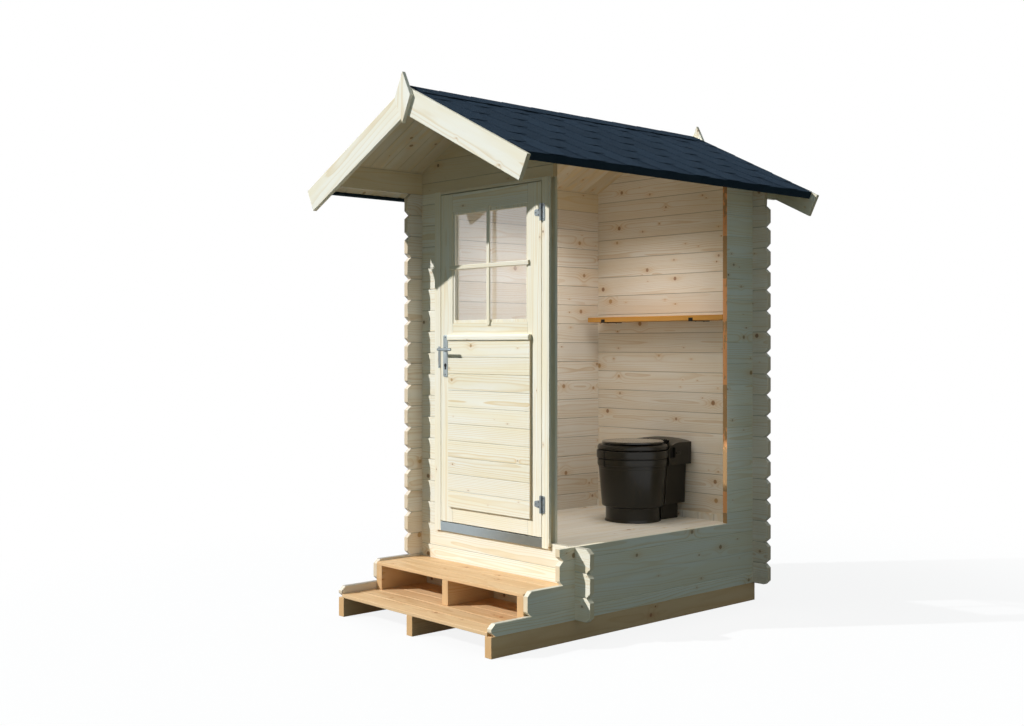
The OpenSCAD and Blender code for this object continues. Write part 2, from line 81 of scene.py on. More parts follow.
class Tree:
    # adds nodes to a shader tree or a geometry tree
    def __init__(self, made):
        self.made = made

    def node(self, kind, settings=None, inputs=None, out=0):
        node = self.made.nodes.new(kind)
        for key, value in (settings or {}).items():
            setattr(node, key, value)
        for key, value in (inputs or {}).items():
            for one in value if isinstance(value, list) else [value]:
                if isinstance(one, Sock):
                    self.made.links.new(one.socket, node.inputs[key])
                else:
                    node.inputs[key].default_value = one
        if isinstance(out, tuple):
            return [Sock(self, node.outputs[key]) for key in out]
        return Sock(self, node.outputs[out])

    def math(self, operation, *values):
        return self.node("ShaderNodeMath", {"operation": operation}, dict(enumerate(values)))

    def clamp(self, value, low, high):
        return self.math("MINIMUM", self.math("MAXIMUM", value, low), high)

    def dot(self, a, b):
        return self.node("ShaderNodeVectorMath", {"operation": "DOT_PRODUCT"}, {0: a, 1: b}, 1)

    def shade(self, colour, factor):
        inputs = {0: colour, "Scale": factor}
        return self.node("ShaderNodeVectorMath", {"operation": "SCALE"}, inputs)

    def join(self, x, y, z):
        return self.node("ShaderNodeCombineXYZ", None, {0: x, 1: y, 2: z})

    def parts(self, vector):
        return self.node("ShaderNodeSeparateXYZ", None, {0: vector}, (0, 1, 2))

    def step(self, value, low, high, start=0.0, end=1.0):
        inputs = {"Value": value, "From Min": low, "From Max": high, "To Min": start, "To Max": end}
        return self.node("ShaderNodeMapRange", {"interpolation_type": "SMOOTHSTEP"}, inputs)

    def noise(self, place, scale=1.0, detail=2.0, rough=0.5):
        inputs = {"Vector": place, "Scale": scale, "Detail": detail, "Roughness": rough}
        return self.node("ShaderNodeTexNoise", {"noise_dimensions": "3D"}, inputs)

    def chance(self, *place):
        # four random numbers for a place
        value, colour = self.node("ShaderNodeTexWhiteNoise", {"noise_dimensions": "3D"},
                                  {"Vector": self.join(*place)}, (0, 1))
        return self.parts(colour) + [value]

    def mix(self, factor, a, b):
        return self.node("ShaderNodeMix", {"data_type": "RGBA"}, {0: factor, 6: a, 7: b}, 2)

    def bump(self, height, strength, distance):
        inputs = {"Height": height, "Strength": strength, "Distance": distance}
        return self.node("ShaderNodeBump", None, inputs)

    def place(self):
        # where a point of the surface is, and which way it faces
        return self.node("ShaderNodeTexCoord", None, None, ("Object", "Normal"))


def newMaterial(name, **constants):
    material = bpy.data.materials.new(name)
    material.use_nodes = True
    tree = Tree(material.node_tree)
    shader = next(n for n in material.node_tree.nodes if n.type == "BSDF_PRINCIPLED")
    for key, value in constants.items():
        shader.inputs[key.replace("_", " ")].default_value = value

    def drive(**sockets):
        for key, value in sockets.items():
            material.node_tree.links.new(value.socket, shader.inputs[key.replace("_", " ")])

    return material, tree, drive


def tone(red, green, blue):
    # a screen colour, 0 to 255, as the linear values that sockets hold
    return tuple(((c / 255 + 0.055) / 1.055) ** 2.4 for c in (red, green, blue)) + (1.0,)


# camera, lamps and floor

def newObject(name, data):
    made = bpy.data.objects.new(name, data)
    scene.collection.objects.link(made)
    return made


camera = {"lens": 43.05, "shiftY": -0.0165, "place": (4.680, -4.088, 1.388), "turn": 47.898}
lamps = (
    {"name": "sun", "kind": "SUN", "energy": 3.75, "colour": (0.975, 0.985, 1.0),
     "aim": (0.70, 1.0, -0.78), "angle": 0.9},
    {"name": "overhead", "kind": "SUN", "energy": 0.6, "colour": (0.94, 0.97, 1.0),
     "aim": (0.05, 0.1, -1), "angle": 60.0},
    {"name": "inside", "kind": "AREA", "energy": 1.5, "colour": (1.0, 0.92, 0.87),
     "aim": (-1.0, 0.0, -0.25), "place": (0.60, 0.74, 1.58),
     "shape": "RECTANGLE", "size": 0.62, "size_y": 1.5, "spread": 140.0},
    {"name": "ceiling", "kind": "AREA", "energy": 6.0, "colour": (1.0, 0.96, 0.92),
     "aim": (0, 0, -1), "place": (0.0, 0.70, 2.20),
     "shape": "SQUARE", "size": 0.7, "spread": 140.0})
sky = {"fill": (0.70, 0.95, 1.0), "strength": 0.20}
ground = {"size": 60.0, "bounce": (0.115, 0.13, 0.115), "seen": (0.9, 0.9, 0.9),
          "middle": (0.05, 0.45), "stretch": (0.7, 0.5),
          "near": 0.88, "fadeFrom": 1.3, "fadeTo": 3.2}

cameraData = bpy.data.cameras.new("camera")
cameraData.lens = camera["lens"]
cameraData.sensor_width = 36
cameraData.shift_y = camera["shiftY"]
cameraObject = newObject("camera", cameraData)
cameraObject.location = camera["place"]
cameraObject.rotation_euler = (math.radians(90), 0, math.radians(camera["turn"]))
scene.camera = cameraObject
scene.view_settings.view_transform = "Standard"


def addLamp(name, kind, energy, colour, aim, place=(0, 0, 5), **settings):
    data = bpy.data.lights.new(name, kind)
    data.energy = energy
    data.color = colour
    for key, value in settings.items():
        setattr(data, key, math.radians(value) if key in ("angle", "spread") else value)
    lamp = newObject(name, data)
    lamp.location = place
    lamp.rotation_euler = Vector(aim).to_track_quat("-Z", "Y").to_euler()
    if kind == "AREA":
        lamp.visible_camera = False
        lamp.visible_glossy = False


for lamp in lamps:
    addLamp(**lamp)


def seenDirectly(tree):
    # 1 for what the camera sees, also through glass and in mirrors
    kinds = ("Is Camera Ray", "Is Glossy Ray", "Is Transmission Ray")
    eye, mirrored, through = tree.node("ShaderNodeLightPath", None, None, kinds)
    return tree.math("MAXIMUM", tree.math("MAXIMUM", eye, mirrored), through)


world = scene.world or bpy.data.worlds.new("world")
scene.world = world
world.use_nodes = True
world.node_tree.nodes.clear()
air = Tree(world.node_tree)
fill = air.node("ShaderNodeBackground", None,
                {"Color": (*sky["fill"], 1), "Strength": sky["strength"]})
white = air.node("ShaderNodeBackground", None, {"Color": (1, 1, 1, 1), "Strength": 1.0})
both = air.node("ShaderNodeMixShader", None, {0: seenDirectly(air), 1: fill, 2: white})
air.node("ShaderNodeOutputWorld", None, {0: both}, ())


def floorMaterial():
    material = bpy.data.materials.new("paleFloor")
    material.use_nodes = True
    material.node_tree.nodes.clear()
    tree = Tree(material.node_tree)
    point, _ = tree.place()
    x, y, _ = tree.parts(point)
    dx, dy = x - ground["middle"][0], y - ground["middle"][1]
    far = (dx * dx * ground["stretch"][0] + dy * dy * ground["stretch"][1]).root()
    fade = tree.step(far, ground["fadeFrom"], ground["fadeTo"], ground["near"], 1.0)
    seen = seenDirectly(tree)
    colour = tree.mix(seen, (*ground["bounce"], 1), (*ground["seen"], 1))
    matt = tree.node("ShaderNodeBsdfDiffuse", None, {"Color": colour})
    glow = tree.node("ShaderNodeEmission", None, {"Color": (1, 1, 1, 1), "Strength": 1.0})
    mixed = tree.node("ShaderNodeMixShader", None, {0: seen * fade, 1: matt, 2: glow})
    tree.node("ShaderNodeOutputMaterial", None, {0: mixed}, ())
    return material


half = ground["size"] / 2
floorMesh = bpy.data.meshes.new("floor")
corners = [(-half, -half, 0), (half, -half, 0), (half, half, 0), (-half, half, 0)]
floorMesh.from_pydata(corners, [], [(0, 1, 2, 3)])
floorMesh.materials.append(floorMaterial())
floorObject = newObject("floor", floorMesh)
print("camera, lamps and floor ready")


# wood

roofPitch = math.radians(26.3)
cosine, sine = math.cos(roofPitch), math.sin(roofPitch)
# x, y, z, then down the right and the left roof, and out of the right and the left roof
ways = {"x": (1, 0, 0), "y": (0, 1, 0), "z": (0, 0, 1),
        "r": (cosine, 0, -sine), "l": (-cosine, 0, -sine),
        "R": (sine, 0, cosine), "L": (-sine, 0, cosine)}

spruce = {"pale": tone(243, 240, 227), "warm": tone(239, 231, 208), "late": tone(220, 196, 148),
          "knot": tone(104, 74, 42), "halo": tone(212, 172, 116), "end": tone(212, 184, 138),
          "ring": 0.0062, "contrast": 0.6, "knotEvery": 0.30, "knotShare": 0.5, "knotSize": 0.0085,
          "pinShare": 0.14, "rough": 0.62}
wallSpruce = dict(spruce, pale=tone(238, 232, 222), warm=tone(232, 221, 204),
                  late=tone(206, 176, 136), contrast=0.55,
                  knot=tone(128, 76, 40), knotShare=0.55, knotSize=0.0095)
# a darker, warmer copy of the spruce: painted shade for the logs under the roof's overhang
paintedShadeSpruce = dict(spruce, pale=tone(230, 216, 188), warm=tone(224, 206, 172))
roofSpruce = dict(spruce, pale=tone(219, 209, 188), warm=tone(211, 196, 168),
                  contrast=0.65, knotEvery=0.5)
doorSpruce = dict(spruce, pale=tone(244, 240, 226), warm=tone(241, 232, 206),
                  late=tone(224, 196, 140), contrast=0.72, ring=0.0085,
                  knot=tone(78, 48, 22), knotEvery=0.24, knotShare=0.4, knotSize=0.0062)
frameSpruce = dict(doorSpruce, knotShare=0.15, pinShare=0.04, contrast=0.5,
                   end=tone(232, 218, 190))
floorSpruce = dict(spruce, pale=tone(240, 236, 228), warm=tone(236, 229, 216),
                   knotShare=0.3, contrast=0.4)
treated = {"pale": tone(227, 193, 149), "warm": tone(219, 180, 132), "late": tone(198, 152, 102),
           "knot": tone(112, 62, 30), "halo": tone(184, 118, 64), "end": tone(210, 164, 108),
           "ring": 0.0052, "contrast": 0.6, "knotEvery": 0.34, "knotShare": 0.35, "knotSize": 0.008,
           "pinShare": 0.12, "rough": 0.58}
blockTimber = dict(treated, pale=tone(222, 194, 156), warm=tone(214, 182, 140))
oiled = {"pale": tone(208, 157, 82), "warm": tone(195, 140, 66), "late": tone(166, 110, 50),
         "knot": tone(84, 44, 16), "halo": tone(140, 78, 28), "end": tone(150, 88, 34),
         "ring": 0.0048, "contrast": 0.7, "knotEvery": 0.5, "knotShare": 0.25, "knotSize": 0.007,
         "pinShare": 0.12, "rough": 0.42}


# what all the woods share: pin knots, the pith below the face, waves in the rings, dark edges
figure = {"pinEvery": 0.47, "pinSize": 0.0032, "pithDepth": 0.022, "pithLean": 0.05,
          "slowWave": 0.030, "quickWave": 0.0030, "jointFrom": 0.0006, "jointTo": 0.0022,
          "endTo": 0.0026, "bump": 0.2, "bumpDepth": 0.0006}


def woodMaterial(name, look, grain, start, pitch, salt, face=0.0, bay=None, joints=0.0,
                 cut=None, ends=None):
    # planed wood: grain gives the ways along it, across the boards, and into them
    material, tree, drive = newMaterial(name, Roughness=look["rough"], Specular_IOR_Level=0.25)
    point, normal = tree.place()
    u, v, d = (tree.dot(point, ways[way]) for way in grain)
    d = d - face
    cell = (v - start) / pitch
    index = cell.floor()
    if bay:
        index = index + ((tree.dot(point, ways[bay[0]]) - bay[1]) / bay[2]).floor() * 17.0
    w = (cell.fract() - 0.5) * pitch
    first, second, third, fourth = tree.chance(index, salt, 3.7)

    # knots: large ones far apart and pin knots between, each in its own stretch of a board
    push, dark, halo = 0.0, 0.0, 0.0
    for every, share, size, shift in (
            (look["knotEvery"], look["knotShare"], look["knotSize"], 0.0),
            (look["knotEvery"] * figure["pinEvery"], look["pinShare"], figure["pinSize"], 9.1)):
        run = u / every + first * 7.0 + shift
        stretch = run.floor()
        a, b, c, e = tree.chance(index, stretch, salt + shift)
        du = (run - stretch - 0.2 - a * 0.6) * every
        dw = w - (b - 0.5) * (pitch * 0.78)
        reach = size * (0.38 + e * 1.05)
        kept = c < share
        far = (du * du * 1.05 + dw * dw) / (reach * reach)
        dark = dark + tree.step((far * -0.5).exp() * kept, 0.45, 0.75) * (0.4 + a * 0.55)
        push = push + (far * -0.08).exp() * kept * reach * 0.9
        along = (du * du * 0.05 + dw * dw * 0.4) / (reach * reach)
        halo = halo + (along * -1.0).exp() * kept

    # growth rings round a pith that leans a little in each board
    dx = w - (second - 0.5) * (pitch * 0.9) - (third - 0.5) * figure["pithLean"] * u
    dz = d + figure["pithDepth"] + fourth * figure["pithLean"]
    slow = tree.noise(tree.join(u * 1.1, w * 7.0 + index * 5.3, d * 7.0 + salt))
    quick = tree.noise(tree.join(u * 6.0, w * 45.0 + index * 3.1, d * 45.0), detail=1.0)
    radius = (dx * dx + dz * dz).root() + (slow - 0.5) * figure["slowWave"] \
        + (quick - 0.5) * figure["quickWave"] + push
    turn = radius / look["ring"]
    part = turn.fract()
    strength = tree.chance(turn.floor(), index, 1.3)[0]
    late = tree.step(part, 0.45, 0.92) * (1 - tree.step(part, 0.94, 1.0)) * (0.35 + strength * 0.65)

    fine = tree.join(u * 5.0, w * 420.0 + index * 7.7, d * 420.0)
    fibre = tree.noise(fine, detail=3.0, rough=0.6)
    cloud = tree.noise(tree.join(u * 1.7, w * 14.0 + index * 4.9, d * 14.0), detail=3.0)
    colour = tree.mix(tree.step(cloud, 0.3, 0.72), look["pale"], look["warm"])
    colour = tree.mix(late * look["contrast"], colour, look["late"])
    colour = tree.mix(tree.step(fibre, 0.55, 0.85, 0.0, 0.2), colour, look["late"])
    colour = tree.mix(halo * 0.4, colour, look["halo"])
    colour = tree.mix(dark * 0.88, colour, tree.mix(fourth * 0.7, look["knot"], look["halo"]))
    level = 0.95 + third * 0.08 + (cloud - 0.5) * 0.05
    if joints:
        edge = (0.5 - abs(cell.fract() - 0.5)) * pitch
        level = level * tree.step(edge, figure["jointFrom"], figure["jointTo"], joints, 1.0)
    if ends:
        edge = tree.math("MINIMUM", u - ends[0], ends[1] - u)
        level = level * tree.step(edge, figure["jointFrom"], figure["endTo"], 0.5, 1.0)
    colour = tree.shade(colour, level)
    facing = tree.step(abs(tree.dot(normal, ways[grain[0]])), 0.55, 0.9)
    colour = tree.mix(facing * 0.55, colour, tree.mix(late * 0.6, look["end"], look["late"]))
    if cut:
        # a saw cut across the logs, darker than the face, in patches from brown to orange
        sawn = (abs(tree.dot(point, ways[cut[0]]) - cut[1]) < 0.002) * facing
        cutPatches = tree.noise(tree.join(w * 30.0, index * 2.9, d * 60.0)) + fourth * 0.5 - 0.25
        cutColour = tree.mix(tree.step(cutPatches, 0.42, 0.62), cut[2], cut[3])
        colour = tree.mix(sawn * 0.93, colour, cutColour)
    height = late * 0.5 + fibre * 0.7 - dark * 0.6
    drive(Base_Color=colour, Normal=tree.bump(height, figure["bump"], figure["bumpDepth"]))
    return material


def low(node):
    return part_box(node)[0]


def high(node):
    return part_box(node)[1]


def dress(material, *nodes):
    for node in nodes:
        for holder in cad[node].material_slots:
            holder.material = material


logHeight = 0.114
boardCount = {"roof": 24, "floor": 10, "panel": 10, "jamb": 16}
frontStart = low("front_wall_base").z
sideStart = frontStart + logHeight / 2
frontFace, leftFace = low("front_wall_base").y, low("left_wall").x
roofLow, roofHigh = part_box("roof_boards_right")
boardPitch = (roofHigh.y - roofLow.y) / boardCount["roof"]
floorPitch = (high("floor_boards").x - low("floor_boards").x) / boardCount["floor"]
panelPitch = (high("door_panel").z - low("door_panel").z) / boardCount["panel"]
jambStart = low("frame_left").x - 0.001
jambPitch = (low("frame_right").x - 0.0005 - jambStart) / boardCount["jamb"]
railEnds = (low("door_rails").x, high("door_rails").x)
roofBay, beamBay = ("y", 0.5, 10.0), ("x", -0.75, 0.5)
bargeStart = high("barge_front_right").z * cosine - 0.1235
sawCut = ("y", low("right_wall_rear").y, tone(168, 131, 86), tone(230, 162, 104))


def wood(name, look, grain, piece, below, pitch, salt, **more):
    # the first board starts a little below the low side of a piece
    start = getattr(low(piece), grain[1]) - below
    return woodMaterial(name, look, grain, start, pitch, salt, **more)


# the gable's logs take the darker copy: painted shade under the overhang
front, gable = (
    woodMaterial(name, look, "xzy", frontStart, logHeight, 1.0, frontFace, joints=0.62)
    for name, look in (("frontLogs", spruce), ("gableLogsPaintedShade", paintedShadeSpruce)))
back = woodMaterial("backLogs", wallSpruce, "xzy", frontStart, logHeight, 2.0,
                    low("back_wall").y, joints=0.5)
# the left purlin takes the darker copy too: painted shade under the eave
left, leftPurlin = (
    woodMaterial(name, look, "yzx", sideStart, logHeight, salt, leftFace, joints=joints)
    for name, look, salt, joints in (("leftLogs", wallSpruce, 3.0, 0.5),
                                     ("leftPurlin", paintedShadeSpruce, 27.0, 0.7)))
right = woodMaterial("rightLogs", spruce, "yzx", sideStart, logHeight, 4.0,
                     low("right_wall_rear").x, joints=0.85, cut=sawCut)
beamWood = wood("beamTimber", treated, "yzx", "beam_left", 0.002, 0.101, 5.0, bay=beamBay)
lowerWood = wood("lowerTreadBoards", treated, "xyz", "lower_tread", 0.002, 0.1044, 6.0)
upperWood = wood("upperTreadBoards", treated, "xyz", "upper_tread", 0.002, 0.101, 7.0)
blockWood = wood("stepBlocks", blockTimber, "yzx", "step_blocks", 0.002, 0.130, 8.0, bay=beamBay)
joistWood = wood("joistTimber", treated, "xyz", "floor_joists", 0, 0.2, 9.0)
ledgerWood = wood("ledgerTimber", treated, "yxz", "floor_ledgers", 0, 0.6, 10.0)
floorWood = wood("floorBoards", floorSpruce, "yxz", "floor_boards", 0, floorPitch, 11.0)
skirtWood = wood("skirting", floorSpruce, "zxy", "skirting", 0, floorPitch, 12.0, joints=0.6)
ridgeWood = wood("ridgeTimber", roofSpruce, "yzx", "ridge_purlin", 0.01, 0.2, 13.0)
roofRight = wood("roofBoardsRight", roofSpruce, "ryR", "roof_boards_right", 0, boardPitch, 14.0)
roofLeft = wood("roofBoardsLeft", roofSpruce, "lyL", "roof_boards_right", 0, boardPitch, 15.0)
bargeRight = woodMaterial("bargeRight", spruce, "rRy", bargeStart, 0.125, 16.0, bay=roofBay)
bargeLeft = woodMaterial("bargeLeft", spruce, "lLy", bargeStart, 0.125, 17.0, bay=roofBay)
finialWood = woodMaterial("finial", spruce, "zxy", -0.07, 0.14, 18.0, bay=roofBay)
jambWood = wood("jambs", frameSpruce, "zxy", "frame_left", 0.001, jambPitch, 19.0)
headWood = wood("frameHead", frameSpruce, "xzy", "door_sill", 0.03, 0.12, 20.0)
stileWood = wood("stiles", frameSpruce, "zxy", "door_stiles", 0.001, 0.0964, 21.0)
railWood = wood("rails", frameSpruce, "xzy", "door_rails", 0.001, 0.1356, 22.0, ends=railEnds)
panelWood = wood("panelBoards", doorSpruce, "xzy", "door_panel", 0, panelPitch, 23.0, joints=0.7)
mouldWood = wood("mouldings", frameSpruce, "xzy", "drip_moulding", 0.3, 0.5, 24.0)
barWood = woodMaterial("uprightBars", frameSpruce, "zxy", -0.9, 0.25, 25.0)
shelfWood = wood("shelf", oiled, "xyz", "shelf_board", 0.01, 0.2, 26.0)

dress(front, "front_wall_base", "front_wall_left")
dress(gable, "front_gable")
dress(back, "back_wall")
dress(left, "left_plinth", "left_wall")
dress(leftPurlin, "left_purlin")
dress(right, "right_plinth", "right_wall_low", "right_wall_rear", "right_purlin")
dress(jambWood, "frame_left", "frame_right")
dress(stileWood, "door_stiles")
dress(panelWood, "door_panel")
print("woods ready")


# other finishes

def feltMaterial(name, base, light, dark):
    # bitumen felt with mineral granules, each piece a shade of its own
    material, tree, drive = newMaterial(name, Roughness=0.95, Specular_IOR_Level=0.03)
    point, _ = tree.place()
    x, y, z = tree.parts(point)
    own = tree.node("ShaderNodeAttribute", {"attribute_name": "tone"}, None, 2)
    cells = 620.0  # granules in a metre
    paler, darker, raised, _ = tree.chance(*((way * cells).floor() for way in (x, y, z)))
    blotch = tree.noise(point, 9.0, 4.0)
    colour = tree.mix(tree.step(paler, 0.70, 1.0, 0.0, 0.55), base, light)
    colour = tree.mix(tree.step(darker, 0.62, 1.0, 0.0, 0.7), colour, dark)
    streak = tree.noise(tree.join(x * 24.0, y * 9.0, z * 24.0), 1.0, 3.0, 0.6)
    colour = tree.shade(colour, (0.91 + own * 0.18) * (0.80 + blotch * 0.14 + streak * 0.26))
    grit = tree.noise(point, 900.0, 2.0, 0.7)
    drive(Base_Color=colour, Normal=tree.bump(grit + raised * 0.6 + streak * 2.0, 0.5, 0.0012))
    return material


def metalMaterial(name, colour, rough, brushed=0.0, dull=None):
    # dull: a painted reflection, a colour the metal turns to from left to right
    material, tree, drive = newMaterial(name, Metallic=1.0)
    point, _ = tree.place()
    x, y, z = tree.parts(point)
    cloud = tree.noise(point, 60.0, 3.0)
    streak = tree.noise(tree.join(x * 900.0, y * 900.0, z * 25.0))
    if dull:
        colour = tree.mix(tree.step(x, -0.25, 0.30), (*colour, 1.0), (*dull, 1.0))
    drive(Base_Color=tree.shade(colour, 0.9 + cloud * 0.2),
          Roughness=rough + (cloud - 0.5) * 0.16 + (streak - 0.5) * brushed,
          Normal=tree.bump(streak * brushed * 4.0 + cloud * 0.4, 0.12, 0.0004))
    return material


def plasticMaterial(name, colour, rough, coat):
    # moulded plastic: glossy, faintly wavy, with a little dust on what faces up
    material, tree, drive = newMaterial(name, Coat_Weight=coat, Coat_Roughness=0.10,
                                        Specular_IOR_Level=0.3)
    point, normal = tree.place()
    wave = tree.noise(point, 28.0)
    dust = tree.noise(point, 240.0, 3.0, 0.65)
    up = tree.step(tree.dot(normal, ways["z"]), 0.3, 0.95)
    cover = tree.step(dust, 0.56, 0.8, 0.0, 0.10) * (0.4 + up)
    drive(Base_Color=tree.mix(cover, colour, tone(120, 112, 100)),
          Roughness=rough + (dust - 0.5) * 0.10,
          Normal=tree.bump(wave + dust * 0.05, 0.08, 0.002))
    return material


def glassMaterial():
    # a pane: what it mirrors lies over what is behind it
    material, tree, drive = newMaterial("pane", Base_Color=(0.93, 0.97, 1.0, 1.0), Metallic=1.0)
    point, _ = tree.place()
    turned = tree.node("ShaderNodeLayerWeight", None, {"Blend": 0.5}, "Facing")
    smear = tree.noise(point, 5.0, 3.0)
    drive(Alpha=0.10 + turned * turned * turned * 0.9 + (smear - 0.5) * 0.05,
          Roughness=0.02 + smear * 0.03)
    return material


shingleFelt = feltMaterial("shingleFelt", tone(47, 61, 76), tone(78, 94, 110), tone(19, 27, 36))
eaveFelt = feltMaterial("eaveFelt", tone(42, 55, 67), tone(60, 74, 86), tone(24, 32, 40))
zinc = metalMaterial("zincPlate", (0.36, 0.41, 0.42), 0.36, 0.1)
hingeZinc = metalMaterial("hingeZinc", (0.24, 0.27, 0.28), 0.40, 0.1)
screwZinc = metalMaterial("zincScrews", (0.16, 0.17, 0.17), 0.34)
# near-black sheets seen only through the keyhole and the keep's slot: painted shade in the holes
paintedShadeSheet = metalMaterial("lockCase", (0.03, 0.03, 0.032), 0.5)
leverZinc = metalMaterial("leverZinc", (0.27, 0.31, 0.33), 0.30, 0.05)
# the sill strip turns darker towards the right: a painted reflection
sillMetal = metalMaterial("sillStrip", (0.35, 0.40, 0.42), 0.42, 0.12, dull=(0.20, 0.20, 0.17))
bracketMetal = metalMaterial("bracketStrap", (0.05, 0.048, 0.045), 0.5, 0.1)
blackPlastic = plasticMaterial("toiletPlastic", tone(33, 31, 26), 0.30, 0.08)
# the lid's plastic is a lighter copy of the tub's: painted reflection
lidPlasticPaintedSheen = plasticMaterial("toiletLidPlastic", tone(42, 40, 34), 0.22, 0.8)
dress(glassMaterial(), "door_glass")
print("finishes ready")


# making pieces

def attach(obj, body, replaced=()):
    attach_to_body(obj, body)
    if replaced:
        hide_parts(*replaced)
    return obj


def meshFrom(name, bm):
    bmesh.ops.recalc_face_normals(bm, faces=bm.faces)
    mesh = bpy.data.meshes.new(name)
    bm.to_mesh(mesh)
    bm.free()
    return mesh


def finishPiece(name, bm, material, body, replaced=(), smooth=None):
    bmesh.ops.remove_doubles(bm, verts=bm.verts, dist=0.00001)
    mesh = meshFrom(name, bm)
    if smooth:
        mesh.shade_smooth()
        mesh.set_sharp_from_angle(angle=math.radians(smooth))
    mesh.materials.clear()
    mesh.materials.append(material)
    return attach(newObject(name, mesh), body, replaced)


def ease(bm, width, sharper=25, chosen=None):
    # rounds the sharp edges, or those of them that a test picks
    bmesh.ops.recalc_face_normals(bm, faces=bm.faces)
    bm.normal_update()
    edges = [e for e in bm.edges if len(e.link_faces) == 2
             and e.calc_face_angle(0) > math.radians(sharper) and (chosen is None or chosen(e))]
    bmesh.ops.bevel(bm, geom=edges, offset=width, segments=2, profile=0.5, affect="EDGES",
                    clamp_overlap=True)


def easedNode(node, material, width=0.002):
    # the CAD node's own shape with its edges eased
    bm = bmesh.new()
    bm.from_mesh(cad[node].data)
    bmesh.ops.remove_doubles(bm, verts=bm.verts, dist=0.00002)
    bmesh.ops.dissolve_limit(bm, angle_limit=math.radians(0.6), verts=bm.verts, edges=bm.edges)
    ease(bm, width)
    words = node.split("_")
    name = words[0] + "".join(word.title() for word in words[1:]) + "Eased"
    return finishPiece(name, bm, material, bodyOf[node], (node,))


def rounded(points, radii, steps=4):
    # a closed outline with its corners rounded
    result = []
    count = len(points)
    for i, point in enumerate(points):
        radius = radii[i] if isinstance(radii, list) else radii
        here = Vector(point)
        if not radius:
            result.append(tuple(here))
            continue
        before = (Vector(points[i - 1]) - here).normalized()
        after = (Vector(points[(i + 1) % count]) - here).normalized()
        corner = before.angle(after)
        middle = here + (before + after).normalized() * radius / math.sin(corner / 2)
        start = here + before * radius / math.tan(corner / 2) - middle
        end = here + after * radius / math.tan(corner / 2) - middle
        sweep = math.atan2(start.x * end.y - start.y * end.x, start.dot(end))
        for k in range(steps + 1):
            c, s = math.cos(sweep * k / steps), math.sin(sweep * k / steps)
            result.append((middle.x + start.x * c - start.y * s,
                           middle.y + start.x * s + start.y * c))
    return result


def rectangle(x0, y0, x1, y1):
    return [(x0, y0), (x1, y0), (x1, y1), (x0, y1)]


def circle(x, y, radius, count):
    turns = [2 * math.pi * k / count for k in range(count)]
    return [(x + radius * math.cos(a), y + radius * math.sin(a)) for a in turns]


def plate(bm, outline, plane, start, end, holes=()):
    # an outline in a plane, with holes, made solid from start to end along the third way
    a, b = "xyz".index(plane[0]), "xyz".index(plane[1])
    c = 3 - a - b
    edges = []
    for loop in (outline, *holes):
        ring = []
        for p, q in loop:
            place = [0.0, 0.0, 0.0]
            place[a], place[b], place[c] = p, q, start
            ring.append(bm.verts.new(place))
        if holes:
            edges += [bm.edges.new((ring[k - 1], ring[k])) for k in range(len(ring))]
    if holes:
        filled = bmesh.ops.triangle_fill(bm, edges=edges, use_beauty=True)["geom"]
        faces = [f for f in filled if isinstance(f, bmesh.types.BMFace)]
    else:
        faces = [bm.faces.new(ring)]
    pulled = bmesh.ops.extrude_face_region(bm, geom=faces, use_keep_orig=True)["geom"]
    shift = [0.0, 0.0, 0.0]
    shift[c] = end - start
    raised = [v for v in pulled if isinstance(v, bmesh.types.BMVert)]
    bmesh.ops.translate(bm, vec=shift, verts=raised)


def bridge(bm, one, two):
    # faces between two rings, either of which may be a single point
    count = max(len(one), len(two))
    for k in range(count):
        corners = list(dict.fromkeys((one[k % len(one)], one[(k + 1) % len(one)],
                                      two[(k + 1) % len(two)], two[k % len(two)])))
        if len(corners) > 2:
            bm.faces.new(corners)


def bridgeAll(bm, rings):
    # faces between rings in a row, closed at both ends
    for one, two in zip(rings, rings[1:]):
        bridge(bm, one, two)
    for ring in (rings[0], rings[-1]):
        if len(ring) > 1:
            bm.faces.new(ring)


def spool(radius, start, end, inward, along):
    # the outline of a short round bar with eased ends, for lathe
    return [(0.0, start), (radius - inward, start), (radius, start + along),
            (radius, end - along), (radius - inward, end), (0.0, end)]


def lathe(bm, outline, centre, count, axis="z", closed=False):
    # turns (radius, height) points round an axis through the centre
    c = "xyz".index(axis)
    a, b = (c + 1) % 3, (c + 2) % 3
    rings = []
    for radius, height in outline:
        ring = []
        for k in range(count if radius > 1e-6 else 1):
            place = list(centre)
            place[a] += radius * math.cos(2 * math.pi * k / count)
            place[b] += radius * math.sin(2 * math.pi * k / count)
            place[c] += height
            ring.append(bm.verts.new(place))
        rings.append(ring)
    for one, two in zip(rings, rings[1:] + rings[:1] if closed else rings[1:]):
        bridge(bm, one, two)


def tube(bm, path, radii, count):
    # a round bar along a path, with a radius for each point; a last radius of 0 closes it
    rings = []
    side = None
    for i, point in enumerate(path):
        after, before = path[min(i + 1, len(path) - 1)], path[max(i - 1, 0)]
        ahead = (Vector(after) - Vector(before)).normalized()
        side = side or ahead.orthogonal()
        side = (side - ahead * side.dot(ahead)).normalized()
        other = ahead.cross(side)
        ring = []
        for k in range(count if radii[i] > 1e-6 else 1):
            a = 2 * math.pi * k / count
            out = (side * math.cos(a) + other * math.sin(a)) * radii[i]
            ring.append(bm.verts.new(Vector(point) + out))
        rings.append(ring)
    bridgeAll(bm, rings)


def evaluated(obj):
    # the mesh that an object's modifiers make
    bpy.context.view_layer.update()
    return bpy.data.meshes.new_from_object(
        obj.evaluated_get(bpy.context.evaluated_depsgraph_get()))


